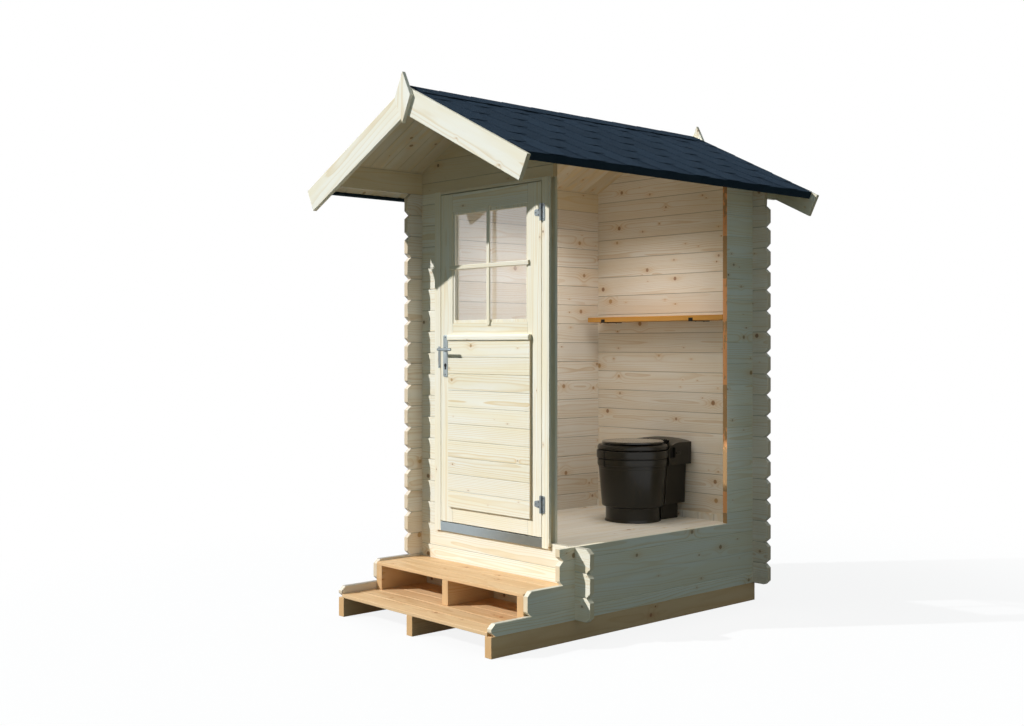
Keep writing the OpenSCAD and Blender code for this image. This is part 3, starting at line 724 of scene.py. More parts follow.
def bakeNodes(name, sizes, build, material, points=()):
    # builds a geometry tree with named sizes, runs it once and keeps the mesh
    group = bpy.data.node_groups.new(name + "Tree", "GeometryNodeTree")
    group.interface.new_socket("Geometry", in_out="INPUT", socket_type="NodeSocketGeometry")
    kinds = {int: "NodeSocketInt", float: "NodeSocketFloat", bpy.types.Object: "NodeSocketObject"}
    for key, value in sizes.items():
        group.interface.new_socket(key, in_out="INPUT", socket_type=kinds[type(value)])
    group.interface.new_socket("Geometry", in_out="OUTPUT", socket_type="NodeSocketGeometry")
    tree = Tree(group)
    entry = group.nodes.new("NodeGroupInput")
    given = {socket.name: Sock(tree, socket) for socket in entry.outputs if socket.name}
    made = tree.node("GeometryNodeRealizeInstances", None, {0: build(tree, given)})
    made = tree.node("GeometryNodeSetMaterial", None, {0: made, "Material": material})
    tree.node("NodeGroupOutput", None, {0: made}, ())
    mesh = bpy.data.meshes.new(name)
    mesh.from_pydata([tuple(p) for p in points], [], [])
    obj = newObject(name, mesh)
    modifier = obj.modifiers.new("make", "NODES")
    modifier.node_group = group
    for item in group.interface.items_tree:
        if item.in_out == "INPUT" and item.name in sizes:
            modifier[item.identifier] = sizes[item.name]
    result = evaluated(obj)
    obj.modifiers.clear()
    bm = bmesh.new()
    bm.from_mesh(result)
    bmesh.ops.dissolve_degenerate(bm, dist=0.000002, edges=bm.edges)
    bmesh.ops.recalc_face_normals(bm, faces=bm.faces)
    bm.to_mesh(result)
    bm.free()
    result.materials.clear()
    result.materials.append(material)
    obj.data = result
    return obj


def nodePiece(name, node, sizes, build, material):
    # a piece made by a geometry tree in the place of a CAD node
    made = bakeNodes(name, sizes, build, material)
    return attach(made, bodyOf[node], (node,))


def solid(tree, flat, offset):
    # closes a flat mesh into a slab of the given thickness
    inputs = {"Mesh": flat, "Offset": offset, "Offset Scale": 1.0, "Individual": False}
    raised = tree.node("GeometryNodeExtrudeMesh", {"mode": "FACES"}, inputs)
    under = tree.node("GeometryNodeFlipFaces", None, {0: flat})
    joined = tree.node("GeometryNodeJoinGeometry", None, {0: [raised, under]})
    return tree.node("GeometryNodeMergeByDistance", None, {0: joined, "Distance": 0.00001})


def moved(tree, geometry, **places):
    inputs = {key.title(): value for key, value in places.items()}
    return tree.node("GeometryNodeSetPosition", None, {"Geometry": geometry, **inputs})


def whereNow(tree):
    return tree.parts(tree.node("GeometryNodeInputPosition"))


def block(tree, size, middle):
    made = tree.node("GeometryNodeMeshCube", None, {"Size": tree.join(*size)})
    return moved(tree, made, offset=tree.join(*middle))


def row(tree, geometry, count, first, between):
    # copies side by side along y
    inputs = {"Count": count, "Start Location": tree.join(0.0, first, 0.0),
              "Offset": tree.join(0.0, between, 0.0)}
    line = tree.node("GeometryNodeMeshLine", {"mode": "OFFSET"}, inputs)
    return tree.node("GeometryNodeInstanceOnPoints", None, {"Points": line, "Instance": geometry})


def shaded(tree, instances, seed):
    # gives each copy a shade of its own and makes the copies real
    inputs = {2: 0.0, 3: 1.0, "Seed": seed}
    own = tree.node("FunctionNodeRandomValue", {"data_type": "FLOAT"}, inputs, 1)
    kind = {"data_type": "FLOAT", "domain": "INSTANCE"}
    inputs = {"Geometry": instances, "Name": "tone", "Value": own}
    stored = tree.node("GeometryNodeStoreNamedAttribute", kind, inputs)
    return tree.node("GeometryNodeRealizeInstances", None, {0: stored})


def onSlope(tree, geometry, given):
    # lays flat work on the roof: x goes down from the ridge, y along it, z stands off it
    down, along, off = whereNow(tree)
    c, s = tree.math("COSINE", given["Pitch"]), tree.math("SINE", given["Pitch"])
    down = tree.math("MAXIMUM", down, 0.0005)
    along = tree.clamp(along, given["Front end"], given["Rear end"])
    middle = (given["Front end"] + given["Rear end"]) * 0.5
    place = tree.join(given["Side"] * (down * c + off * s),
                      middle + given["Side"] * (along - middle),
                      given["Ridge height"] - down * s + off * c)
    return moved(tree, geometry, position=place)


slope = {"Pitch": roofPitch, "Ridge height": roofHigh.z,
         "Front end": roofLow.y, "Rear end": roofHigh.y}
rightSide, leftSide = dict(slope, Side=1.0), dict(slope, Side=-1.0)


# boards made in rows

def boardRow(tree, given):
    # boards side by side: each along x, the row along y, the upper face at z = 0
    inputs = {"Width": given["Board pitch"] - given["Gap"], "Height": given["Thickness"]}
    outline = tree.node("GeometryNodeCurvePrimitiveQuadrilateral", {"mode": "RECTANGLE"}, inputs)
    inputs = {"Curve": outline, "Count": 2, "Radius": given["Edge"]}
    outline = tree.node("GeometryNodeFilletCurve", {"mode": "POLY"}, inputs)
    flat = tree.node("GeometryNodeFillCurve", {"mode": "NGONS"}, {"Curve": outline})
    board = solid(tree, flat, tree.join(0.0, 0.0, given["Length"]))
    x, y, z = whereNow(tree)
    place = tree.join(z + given["Start"], x + given["Board pitch"] * 0.5,
                      y - given["Thickness"] * 0.5)
    board = moved(tree, board, position=place)
    copies = row(tree, board, given["Boards"], given["First edge"], given["Board pitch"])
    return tree.node("GeometryNodeRealizeInstances", None, {0: copies})


def roofBoardTree(tree, given):
    return onSlope(tree, boardRow(tree, given), given)


def floorBoardTree(tree, given):
    # the row is laid flat with its boards along the depth of the cabin
    boards = boardRow(tree, given)
    x, y, z = whereNow(tree)
    return moved(tree, boards, position=tree.join(y, x, z + given["Level"]))


def skirtTree(tree, given):
    # short boards stood up against the back wall
    boards = boardRow(tree, given)
    x, y, z = whereNow(tree)
    return moved(tree, boards, position=tree.join(y, given["Level"] + z, x))


roofBoards = {"Boards": boardCount["roof"], "Board pitch": boardPitch, "Gap": 0.0012,
              "Thickness": 0.0208, "Edge": 0.0022, "Start": 0.0108,
              "Length": roofHigh.x / cosine - 0.0114, "First edge": roofLow.y}
nodePiece("roofBoardsRight", "roof_boards_right", {**roofBoards, **rightSide}, roofBoardTree,
          roofRight)
nodePiece("roofBoardsLeft", "roof_boards_left", {**roofBoards, **leftSide}, roofBoardTree,
          roofLeft)

floorLow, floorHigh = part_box("floor_boards")
floorBoards = {"Boards": boardCount["floor"], "Board pitch": floorPitch, "Gap": 0.0010,
               "Thickness": floorHigh.z - floorLow.z, "Edge": 0.0016,
               "Start": floorLow.y, "Length": floorHigh.y - floorLow.y,
               "First edge": floorLow.x, "Level": floorHigh.z}
nodePiece("floorBoards", "floor_boards", floorBoards, floorBoardTree, floorWood)

skirtLow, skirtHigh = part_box("skirting")
skirtBoards = {"Boards": boardCount["floor"], "Board pitch": floorPitch, "Gap": 0.0014,
               "Thickness": skirtHigh.y - skirtLow.y, "Edge": 0.0016,
               "Start": skirtLow.z, "Length": skirtHigh.z - skirtLow.z,
               "First edge": skirtLow.x, "Level": skirtHigh.y}
nodePiece("skirtingBoards", "skirting", skirtBoards, skirtTree, skirtWood)
print("rows of boards laid")


# shingles

def shingleTree(tree, given):
    # tabs with a narrow lower edge, in courses from the eave up, each course half a tab along
    pitch, exposure, under = given["Tab pitch"], given["Exposure"], given["Under sheet"]
    front, rear, eave = given["Front end"], given["Rear end"], given["Slope length"]
    inputs = {"Size X": 3.0, "Size Y": 2.0, "Vertices X": 4, "Vertices Y": 3}
    flat = tree.node("GeometryNodeMeshGrid", None, inputs)
    x, y, z = whereNow(tree)
    line = x + 1.5  # 0 at the hidden top, 1 and 2 at the shoulder, 3 at the lower edge
    shoulder, lower = (line > 1.5) * (line < 2.5), line > 2.5
    reach = exposure * 2.0
    down = exposure * ((line > 0.5) * 0.985 + shoulder * 0.015 + lower * 1.015)
    wide = pitch * (line < 1.5) + (pitch - given["Notch width"]) * shoulder \
        + given["Lower width"] * lower
    tab = moved(tree, flat, position=tree.join(down - reach, y * wide * 0.5, 0.0))
    tab = solid(tree, tab, tree.join(0.0, 0.0, 1.0))

    # the tab lies on the one below it and is thickest at its lower edge
    x, y, z = whereNow(tree)
    share = x / reach + 1.0
    hidden = tree.clamp(share * 2.0, 0.0, 1.0)
    shown = tree.clamp(share * 2.0 - 1.0, 0.0, 1.0)
    thick = given["Top thickness"] \
        + hidden * (given["Middle thickness"] - given["Top thickness"]) \
        + shown * (given["Edge thickness"] - given["Middle thickness"])
    tab = moved(tree, tab, position=tree.join(x, y, share * given["Lift"] + z * thick))

    points = tree.node("GeometryNodePoints", None, {"Count": given["Courses"] * given["Tabs"]})
    index = tree.node("GeometryNodeInputIndex")
    course = ((index + 0.5) / given["Tabs"]).floor()
    column = index - course * given["Tabs"] + (course % 2.0) * 0.5 + given["First middle"]
    place = tree.join(eave - course * exposure, front + column * pitch, under)
    points = moved(tree, points, position=place)
    inputs = {0: wobble["least"], 1: wobble["most"], "Seed": wobble["seed"]}
    shift = tree.node("FunctionNodeRandomValue", {"data_type": "FLOAT_VECTOR"}, inputs, 0)
    points = moved(tree, points, offset=shift)
    x, y, z = whereNow(tree)
    inside = (y - pitch * 0.5 + 0.01) < rear
    inputs = {"Points": points, "Instance": tab, "Selection": inside}
    copies = tree.node("GeometryNodeInstanceOnPoints", None, inputs)
    tabs = shaded(tree, copies, 5)

    long, middle = rear - front, (rear + front) * 0.5
    sheet = block(tree, (eave - 0.002, long, under), (eave * 0.5, middle, under * 0.5))
    starter = block(tree, (strip["wide"], long, strip["thick"]),
                    (eave - strip["in"], middle, strip["up"]))
    joined = tree.node("GeometryNodeJoinGeometry", None, {0: [tabs, sheet, starter]})
    return onSlope(tree, joined, given)


eaveEdge = high("shingles_right").x
shingles = {"Tab pitch": 0.25, "Exposure": 0.145, "Lower width": 0.105, "Notch width": 0.030,
            "Edge thickness": 0.0018, "Middle thickness": 0.0010, "Top thickness": 0.0004,
            "Lift": 0.0020, "Under sheet": 0.0022, "Courses": 6, "Tabs": 10,
            "First middle": -0.23, "Slope length": eaveEdge / cosine + 0.001}
wobble = {"least": (-0.0012, -0.0008, 0.0), "most": (0.0012, 0.0008, 0.0005), "seed": 11}
strip = {"wide": 0.11, "thick": 0.0018, "in": 0.0555, "up": 0.0014}  # under the lowest course
nodePiece("shinglesRight", "shingles_right", {**shingles, **rightSide}, shingleTree, shingleFelt)
nodePiece("shinglesLeft", "shingles_left", {**shingles, **leftSide}, shingleTree, shingleFelt)


def ridgeTree(tree, given):
    # pieces of felt bent over the ridge, each lapping the next
    inputs = {"Size X": 2.0, "Size Y": 1.0, "Vertices X": 13, "Vertices Y": 2}
    flat = tree.node("GeometryNodeMeshGrid", None, inputs)
    x, y, z = whereNow(tree)
    place = tree.join(x * given["Half width"], y * given["Piece length"],
                      (0.5 - y) * given["Lap rise"])
    tab = moved(tree, flat, position=place)
    tab = solid(tree, tab, tree.join(0.0, 0.0, given["Felt"]))
    first = given["Front end"] + given["Piece length"] * 0.5 - 0.02
    pieces = shaded(tree, row(tree, tab, given["Pieces"], first, given["Piece pitch"]), 8)
    x, y, z = whereNow(tree)
    y = tree.clamp(y, given["Front end"] + 0.0005, given["Rear end"] - 0.0005)
    bent = (x * x + given["Bend"] * given["Bend"]).root()
    c, s = tree.math("COSINE", given["Pitch"]), tree.math("SINE", given["Pitch"])
    height = given["Ridge height"] + given["Off"] - (bent - given["Bend"]) * s + z * c
    return moved(tree, pieces, position=tree.join(x * c + x / bent * z * s, y, height))


ridgeFelt = {"Half width": 0.118, "Piece length": 0.27, "Piece pitch": 0.205, "Pieces": 10,
             "Felt": 0.0022, "Lap rise": 0.0024, "Bend": 0.010, "Off": 0.0022}
nodePiece("ridgeFelt", "ridge_cap", {**ridgeFelt, **slope}, ridgeTree, shingleFelt)


def eaveTree(tree, given):
    # felt turned down over the eave batten, in pieces of one tab's length
    piece = block(tree, (given["Felt"], given["Piece length"] - 0.0016, given["Drop"]),
                  (given["Outer face"], 0.0, given["Top"] - given["Drop"] * 0.5))
    pieces = row(tree, piece, given["Pieces"], given["First middle"], given["Piece length"])
    return onSlope(tree, shaded(tree, pieces, 3), given)


eaveStrips = {"Piece length": 0.25, "Pieces": 9, "First middle": roofLow.y + 0.0675, "Felt": 0.0012,
              "Drop": 0.0350, "Outer face": eaveEdge / cosine + 0.0008, "Top": -0.0002}
for name, sides in (("eaveFeltRight", rightSide), ("eaveFeltLeft", leftSide)):
    attach(bakeNodes(name, {**eaveStrips, **sides}, eaveTree, eaveFelt), "cabin")
dress(eaveFelt, "eave_trim_left", "eave_trim_right")
print("roof covered")


# timber with eased edges

eased = (("beam_left", beamWood), ("beam_middle", beamWood), ("beam_right", beamWood),
         ("lower_tread", lowerWood, 0.003), ("upper_tread", upperWood, 0.003),
         ("step_blocks", blockWood), ("floor_joists", joistWood, 0.0015),
         ("floor_ledgers", ledgerWood, 0.0015), ("ridge_purlin", ridgeWood),
         ("barge_front_left", bargeLeft), ("barge_front_right", bargeRight),
         ("barge_rear_left", bargeLeft), ("barge_rear_right", bargeRight),
         ("finial_front", finialWood), ("finial_rear", finialWood),
         ("frame_head", headWood, 0.0012), ("door_sill", headWood, 0.0012),
         ("door_rails", railWood), ("drip_moulding", mouldWood, 0.0035),
         ("door_beads", barWood), ("shelf_board", shelfWood, 0.0025),
         ("sill_strip", sillMetal, 0.0006), ("shelf_brackets", bracketMetal, 0.0008))
for entry in eased:
    easedNode(*entry)
print("timber eased")


# glazing bars

bars = {"wide": 0.023, "deep": 0.008, "past": 0.012, "x": -0.0035, "z": 1.798,
        "rounding": 0.0035, "over": 0.0025}
leafFace, leafBack = low("door_stiles").y, high("door_stiles").y
openingLow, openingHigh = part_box("door_beads")


def barProfile(centre, forward):
    near, far = centre - bars["wide"] / 2, centre + bars["wide"] / 2
    outer = leafFace - forward - bars["deep"]
    corners = [(near, leafFace), (near, outer), (far, outer), (far, leafFace)]
    return rounded(corners, [0, bars["rounding"], bars["rounding"], 0])


bm = bmesh.new()
plate(bm, barProfile(bars["x"], 0.0), "xy", openingLow.z - bars["past"],
      openingHigh.z + bars["past"])
finishPiece("glazingBarUpright", bm, barWood, "door")
bm = bmesh.new()
plate(bm, [(y, z) for z, y in barProfile(bars["z"], bars["over"])], "yz",
      openingLow.x - bars["past"], openingHigh.x + bars["past"])
finishPiece("glazingBarCross", bm, mouldWood, "door")
print("glazing bars made")


# lock, lever and keep

lockLow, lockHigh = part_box("lock_plates")
leverLow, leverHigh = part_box("lever_spindle")
gripLow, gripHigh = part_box("lever_grips")
lock = {"x": (lockLow.x + lockHigh.x) / 2, "leverZ": (leverLow.z + leverHigh.z) / 2,
        "keyZ": 1.286, "corner": 0.008, "leverHole": 0.0095, "keyRound": 0.0110,
        "keySlot": 0.0075, "keyDrop": 0.0215, "thick": 0.004, "edge": 0.0011,
        "caseHalf": 0.014, "caseBelow": 0.024, "caseAbove": 0.014,
        "caseNear": 0.0002, "caseFar": 0.0012, "screwIn": 0.012}
outsideFace, insideFace = leafFace - lock["thick"], leafBack + lock["thick"]


def keyhole():
    r, s, x, z = lock["keyRound"], lock["keySlot"], lock["x"], lock["keyZ"]
    start = math.asin(s / r)
    turns = [start + (2 * math.pi - 2 * start) * k / 20 for k in range(21)]
    points = [(x - r * math.sin(a), z - r * math.cos(a)) for a in turns]
    return points + [(x + s, z - lock["keyDrop"]), (x - s, z - lock["keyDrop"])]


for name, near, outer in (("lockPlateOutside", leafFace, outsideFace),
                          ("lockPlateInside", leafBack, insideFace)):
    bm = bmesh.new()
    outline = rounded(rectangle(lockLow.x, lockLow.z, lockHigh.x, lockHigh.z), lock["corner"], 5)
    leverHole = circle(lock["x"], lock["leverZ"], lock["leverHole"], 24)
    plate(bm, outline, "xz", near, outer, (leverHole, keyhole()))
    ease(bm, lock["edge"], 40, lambda e: all(abs(v.co.y - outer) < 1e-5 for v in e.verts))
    finishPiece(name, bm, zinc, "door", ("lock_plates",), 30)
# a dark sheet behind each keyhole, inside the plate: painted shade in the hole
bm = bmesh.new()
case = rectangle(lock["x"] - lock["caseHalf"], lock["keyZ"] - lock["caseBelow"],
                 lock["x"] + lock["caseHalf"], lock["keyZ"] + lock["caseAbove"])
plate(bm, case, "xz", leafFace - lock["caseFar"], leafFace - lock["caseNear"])
plate(bm, case, "xz", leafBack + lock["caseNear"], leafBack + lock["caseFar"])
finishPiece("lockCase", bm, paintedShadeSheet, "door")

grip = {"bend": 0.010, "radius": 0.0080, "neck": 0.9, "waist": 0.10, "tip": 0.006,
        "collar": 0.0125, "collarLong": 0.006, "collarEdge": 0.002, "inLeaf": 0.006}
for name, turn, face, far in (
        ("leverOutside", -1, outsideFace, gripLow.y + grip["radius"]),
        ("leverInside", 1, insideFace, gripHigh.y - grip["radius"])):
    x0, z0, b, r = lock["x"], lock["leverZ"], grip["bend"], grip["radius"]
    end = gripHigh.x
    path = [(x0, grip["inLeaf"], z0), (x0, face + turn * 0.02, z0), (x0, far - turn * b, z0)]
    radii = [r * grip["neck"]] * 3
    for k in range(1, 7):
        a = math.radians(15 * k)
        path.append((x0 + b - b * math.cos(a), far - turn * b + turn * b * math.sin(a), z0))
        radii.append(r * (grip["neck"] + k / 60))
    for k in range(1, 6):
        path.append((x0 + b + (end - grip["tip"] - x0 - b) * k / 5, far, z0))
        radii.append(r * (1 - grip["waist"] * math.sin(math.pi * k / 5)))
    for k in range(1, 6):
        a = math.radians(18 * k)
        path.append((end - grip["tip"] + grip["tip"] * math.sin(a), far, z0))
        radii.append(r * math.cos(a) if k < 5 else 0.0)
    bm = bmesh.new()
    tube(bm, path, radii, 20)
    collar, long = grip["collar"], grip["collarLong"]
    outline = [(0.0, 0.0), (collar, 0.0), (collar, long * 0.6),
               (collar - grip["collarEdge"], long), (0.0, long)]
    lathe(bm, [(p, turn * q) for p, q in outline], (x0, face + turn * 0.0002, z0), 24, "y")
    replaced = ("lever_spindle", "lever_grips") if turn < 0 else ("lever_grips",)
    finishPiece(name, bm, leverZinc, "lever", replaced, 35)

keepLow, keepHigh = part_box("keep_plate")
keep = {"slotIn": 0.0035, "slotWide": 0.0055, "slotEnds": 0.016, "slotCorner": 0.0024,
        "corner": 0.003, "slotShadeFrom": 0.002, "slotShadeTo": 0.011, "slotShadeEnds": 0.012,
        "slotShadeNear": 0.0006, "slotShadeFar": 0.0001, "screwIn": 0.005, "screwEnds": 0.009}
slotLeft = keepLow.x + keep["slotIn"]
slotHole = rounded(rectangle(slotLeft, keepLow.z + keep["slotEnds"],
                             slotLeft + keep["slotWide"], keepHigh.z - keep["slotEnds"]),
                   keep["slotCorner"], 3)
outline = rounded(rectangle(keepLow.x, keepLow.z, keepHigh.x, keepHigh.z), keep["corner"], 3)
bm = bmesh.new()
plate(bm, outline, "xz", keepLow.y, keepHigh.y, (slotHole,))
finishPiece("keepPlate", bm, zinc, "cabin", ("keep_plate",))
# a dark sheet behind the slot, inside the plate: painted shade in the hole
slotShade = rectangle(keepLow.x + keep["slotShadeFrom"], keepLow.z + keep["slotShadeEnds"],
                   keepLow.x + keep["slotShadeTo"], keepHigh.z - keep["slotShadeEnds"])
bm = bmesh.new()
plate(bm, slotShade, "xz", keepHigh.y - keep["slotShadeNear"], keepHigh.y - keep["slotShadeFar"])
finishPiece("keepRecess", bm, paintedShadeSheet, "cabin")
print("lock and lever made")


# hinges

hinge = {"x": 0.3845, "y": -0.021, "z": (0.622, 2.036), "long": 0.084, "middle": 0.0320,
         "gap": 0.0006, "radius": 0.006, "edge": 0.0008, "pin": 0.004, "pinUp": 0.002,
         "back": 0.007, "thick": 0.003, "corner": 0.007, "frameWide": 0.024,
         "tongue": 0.008, "slack": 0.001, "wing": 0.048, "wingHalf": 0.0130,
         "shoulder": 0.012, "shoulderHalf": 0.0195, "head": 0.0046,
         "frameScrewX": 0.0150, "frameScrewZ": (-0.031, 0.0, 0.031),
         "wingScrews": ((0.019, 0.011), (0.019, -0.011), (0.038, 0.0))}


def barrel(bm, z0, z1):
    outline = spool(hinge["radius"], z0, z1, hinge["edge"], hinge["edge"])
    lathe(bm, outline, (hinge["x"], hinge["y"], 0.0), 24)


frameBm, doorBm = bmesh.new(), bmesh.new()
hingeFace = hinge["y"] + hinge["back"] - hinge["thick"]
for z in hinge["z"]:
    x, y, h, m = hinge["x"], hinge["y"], hinge["long"] / 2, hinge["middle"] / 2
    barrel(frameBm, z + m + hinge["gap"], z + h)
    barrel(frameBm, z - h, z - m - hinge["gap"])
    tip = [(0.0, z + h), (hinge["pin"], z + h), (hinge["pin"], z + h + 0.0012),
           (0.0, z + h + hinge["pinUp"])]
    lathe(frameBm, tip, (x, y, 0.0), 20)
    barrel(doorBm, z - m, z + m)
    n, edge, wing = m + hinge["slack"], x + hinge["frameWide"], x - hinge["wing"]
    outline = [(x, z - h), (edge, z - h), (edge, z + h), (x, z + h), (x, z + n),
               (x + hinge["tongue"], z + n), (x + hinge["tongue"], z - n), (x, z - n)]
    radii = [0, hinge["corner"], hinge["corner"], 0, 0, 0, 0, 0]
    plate(frameBm, rounded(outline, radii, 5), "xz", hingeFace, hingeFace + hinge["thick"])
    shoulder = x - hinge["shoulder"]
    outline = [(x, z - m), (x, z + m), (shoulder, z + hinge["shoulderHalf"]),
               (wing, z + hinge["wingHalf"]), (wing, z - hinge["wingHalf"]),
               (shoulder, z - hinge["shoulderHalf"])]
    radii = [0, 0, 0.003, 0.008, 0.008, 0.003]
    plate(doorBm, rounded(outline, radii, 5), "xz", hingeFace, hingeFace + hinge["thick"])
finishPiece("hingeFramePlates", frameBm, hingeZinc, "cabin",
            ("hinge_frame_leaves",), 30)
finishPiece("hingeDoorWings", doorBm, hingeZinc, "door",
            ("hinge_door_leaves",), 30)


# screws

def screwHead():
    # a low head with a cross recess, facing -Y, its underside at the origin
    bm = bmesh.new()
    arm, thin = 0.62, 0.14  # of the recess, as shares of the head's radius
    corner = ((thin, thin), (thin, arm), (-thin, arm))
    cross = [(p * c - q * s, p * s + q * c)
             for c, s in ((1, 0), (0, 1), (-1, 0), (0, -1)) for p, q in corner]
    angles = [math.atan2(q, p) for p, q in cross]
    rings = [[(radius * math.cos(a), height, radius * math.sin(a)) for a in angles]
             for radius, height in ((1.0, 0.0), (1.0, -0.00035), (0.86, -0.0010))]
    rings += [[(p, -0.0014, q) for p, q in cross], [(p * 0.9, -0.0005, q * 0.9) for p, q in cross]]
    size = hinge["head"]
    rings = [[bm.verts.new((x * size, y, z * size)) for x, y, z in ring] for ring in rings]
    bridgeAll(bm, rings)
    return newObject("screwHead", meshFrom("screwHead", bm))


def screwTree(tree, given):
    head = tree.node("GeometryNodeObjectInfo", {"transform_space": "ORIGINAL"},
                     {"Object": given["Head"]}, "Geometry")
    inputs = {2: 0.0, 3: 6.283, "Seed": given["Seed"]}
    turn = tree.node("FunctionNodeRandomValue", {"data_type": "FLOAT"}, inputs, 1)
    inputs = {"Points": given["Geometry"], "Instance": head,
              "Rotation": tree.join(given["Tip over"], turn, 0.0)}
    return tree.node("GeometryNodeInstanceOnPoints", None, inputs)


def screws(name, points, body, seed, tip=0.0):
    head = screwHead()
    sizes = {"Head": head, "Seed": seed, "Tip over": tip}
    obj = bakeNodes(name, sizes, screwTree, screwZinc, points)
    bpy.data.objects.remove(head)
    return attach(obj, body)


framePoints = [(hinge["x"] + hinge["frameScrewX"], hingeFace, z + dz)
               for z in hinge["z"] for dz in hinge["frameScrewZ"]]
wingPoints = [(hinge["x"] - dx, hingeFace, z + dz)
              for z in hinge["z"] for dx, dz in hinge["wingScrews"]]
plateEnds = (lockLow.z + lock["screwIn"], lockHigh.z - lock["screwIn"])
keepEnds = (keepLow.z + keep["screwEnds"], keepHigh.z - keep["screwEnds"])
screws("hingeFrameScrews", framePoints, "cabin", 21)
screws("hingeDoorScrews", wingPoints, "door", 22)
screws("lockScrewsOutside", [(lock["x"], outsideFace, z) for z in plateEnds], "door", 23)
screws("lockScrewsInside", [(lock["x"], insideFace, z) for z in plateEnds], "door", 24, math.pi)
screws("keepScrews", [(keepHigh.x - keep["screwIn"], keepLow.y, z) for z in keepEnds], "cabin", 25)

bracketLow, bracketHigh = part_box("shelf_brackets")
bracket = {"x": (-0.386, 0.287), "front": 0.045, "rear": 0.035,
           "head": [(0.0, 0.0), (0.0052, 0.0), (0.0050, -0.0008), (0.0036, -0.0018),
                    (0.0, -0.0022)]}
bm = bmesh.new()
for x in bracket["x"]:
    for y in (bracketLow.y + bracket["front"], bracketHigh.y - bracket["rear"]):
        lathe(bm, bracket["head"], (x, y, bracketLow.z), 16)
finishPiece("bracketScrews", bm, bracketMetal, "cabin", (), 30)
print("hinges and screws made")


# toilet

bowl = {"x": 0.010, "y": 1.050, "count": 96}
floorTop = floorHigh.z
centre = (bowl["x"], bowl["y"], floorTop)


def rounds(points, radii, steps=3):
    # an outline given in millimetres, as radius and height above the floor
    outline = [(r / 1000, z / 1000) for r, z in points]
    return rounded(outline, [r / 1000 for r in radii], steps)


def toiletPiece(name, bm, replaced=()):
    finishPiece(name, bm, blackPlastic, "cabin", replaced, 35)


tub = rounds([(146, 0), (158, 0), (158, 3), (152, 14), (152, 80), (173, 86), (190.5, 296),
              (192, 298), (193, 316), (199, 317), (199, 350), (195, 353), (195, 356),
              (203, 357), (203, 398), (184, 398), (184, 340), (164, 100), (146, 92),
              (146, 8), (20, 6), (20, 2), (146, 2)],
             [0, 1, 1, 8, 3, 5, 0, 0.8, 1, 2, 2.5, 0.8, 0.8, 3, 4, 2, 8, 8, 8, 6, 0, 0, 0])
hub = [(0.0, 0.002), (0.0205, 0.002), (0.0205, 0.006), (0.0, 0.006)]
bm = bmesh.new()
lathe(bm, tub, centre, bowl["count"], closed=True)
lathe(bm, hub, centre, bowl["count"])
finishPiece("toiletTub", bm, blackPlastic, "cabin", ("toilet_bucket",), 30)

seat = rounds([(118, 402), (196, 402), (199, 408), (197, 418), (191, 428.5), (126, 429),
               (118, 422)], [2, 2, 3, 6, 8, 7, 5], 4)
pads = {"angles": (35, 145, 215, 325), "out": 0.187, "radius": 0.009, "z": (0.3978, 0.4022)}
bm = bmesh.new()
lathe(bm, seat, centre, bowl["count"], closed=True)
for angle in pads["angles"]:
    a = math.radians(angle)
    foot = (centre[0] + pads["out"] * math.cos(a), centre[1] + pads["out"] * math.sin(a),
            floorTop)
    z0, z1 = pads["z"]
    lathe(bm, [(0.0, z0), (pads["radius"], z0), (pads["radius"], z1), (0.0, z1)], foot, 12)
finishPiece("toiletSeatRing", bm, blackPlastic, "cabin", ("toilet_seat",), 30)

pin = {"y": 1.238, "z": 0.852, "tube": 0.007, "side": 0.062, "half": 0.012, "edge": 0.001}
lid = {"low": 0.434, "wide": 0.168, "round": 0.006, "lowRound": 0.440, "topRound": 0.4415,
       "armFrom": 0.140, "armLow": 0.002, "armHigh": 0.0115}
lidLow, armStart = floorTop + lid["low"], bowl["y"] + lid["armFrom"]
disc = [(0.0, lid["low"]), (lid["wide"], lid["low"])]
for height, angles in ((lid["lowRound"], range(18, 91, 18)), (lid["topRound"], range(90, 181, 18))):
    disc += [(lid["wide"] + lid["round"] * math.sin(math.radians(a)),
              height - lid["round"] * math.cos(math.radians(a))) for a in angles]
disc += [(0.160, 0.4476), (0.154, 0.4468), (0.100, 0.4474), (0.050, 0.4479), (0.0, 0.448)]
bm = bmesh.new()
lathe(bm, disc, centre, bowl["count"])
for side in (-1, 1):
    x, w, r, c = bowl["x"] + side * pin["side"], pin["half"], pin["tube"], pin["edge"]
    arm = [(armStart, lidLow + lid["armLow"]), (pin["y"], pin["z"] - r),
           (pin["y"], pin["z"] + 0.002), (armStart, lidLow + lid["armHigh"])]
    plate(bm, arm, "yz", x - w + c, x + w - c)
    lathe(bm, spool(r, -w, w, c, c), (x, pin["y"], pin["z"]), 20, "x")
finishPiece("toiletLidDisc", bm, lidPlasticPaintedSheen, "lid", ("toilet_lid",), 35)

housing = {"back": high("back_wall").y - 0.028, "columns": 28, "rows": 14, "gap": 0.026,
           "fallLong": 0.095, "topHalf": 0.180, "baseGap": 0.060}
# the finger recess in each cheek, and the notches that clear the hinge of the lid
grab = {"near": 0.112, "far": 0.156, "low": 0.352, "high": 0.410, "half": 0.025, "out": 0.005}
notch = {"clear": 0.0015, "before": 0.07, "behind": 0.012, "below": 0.012, "above": 0.06}


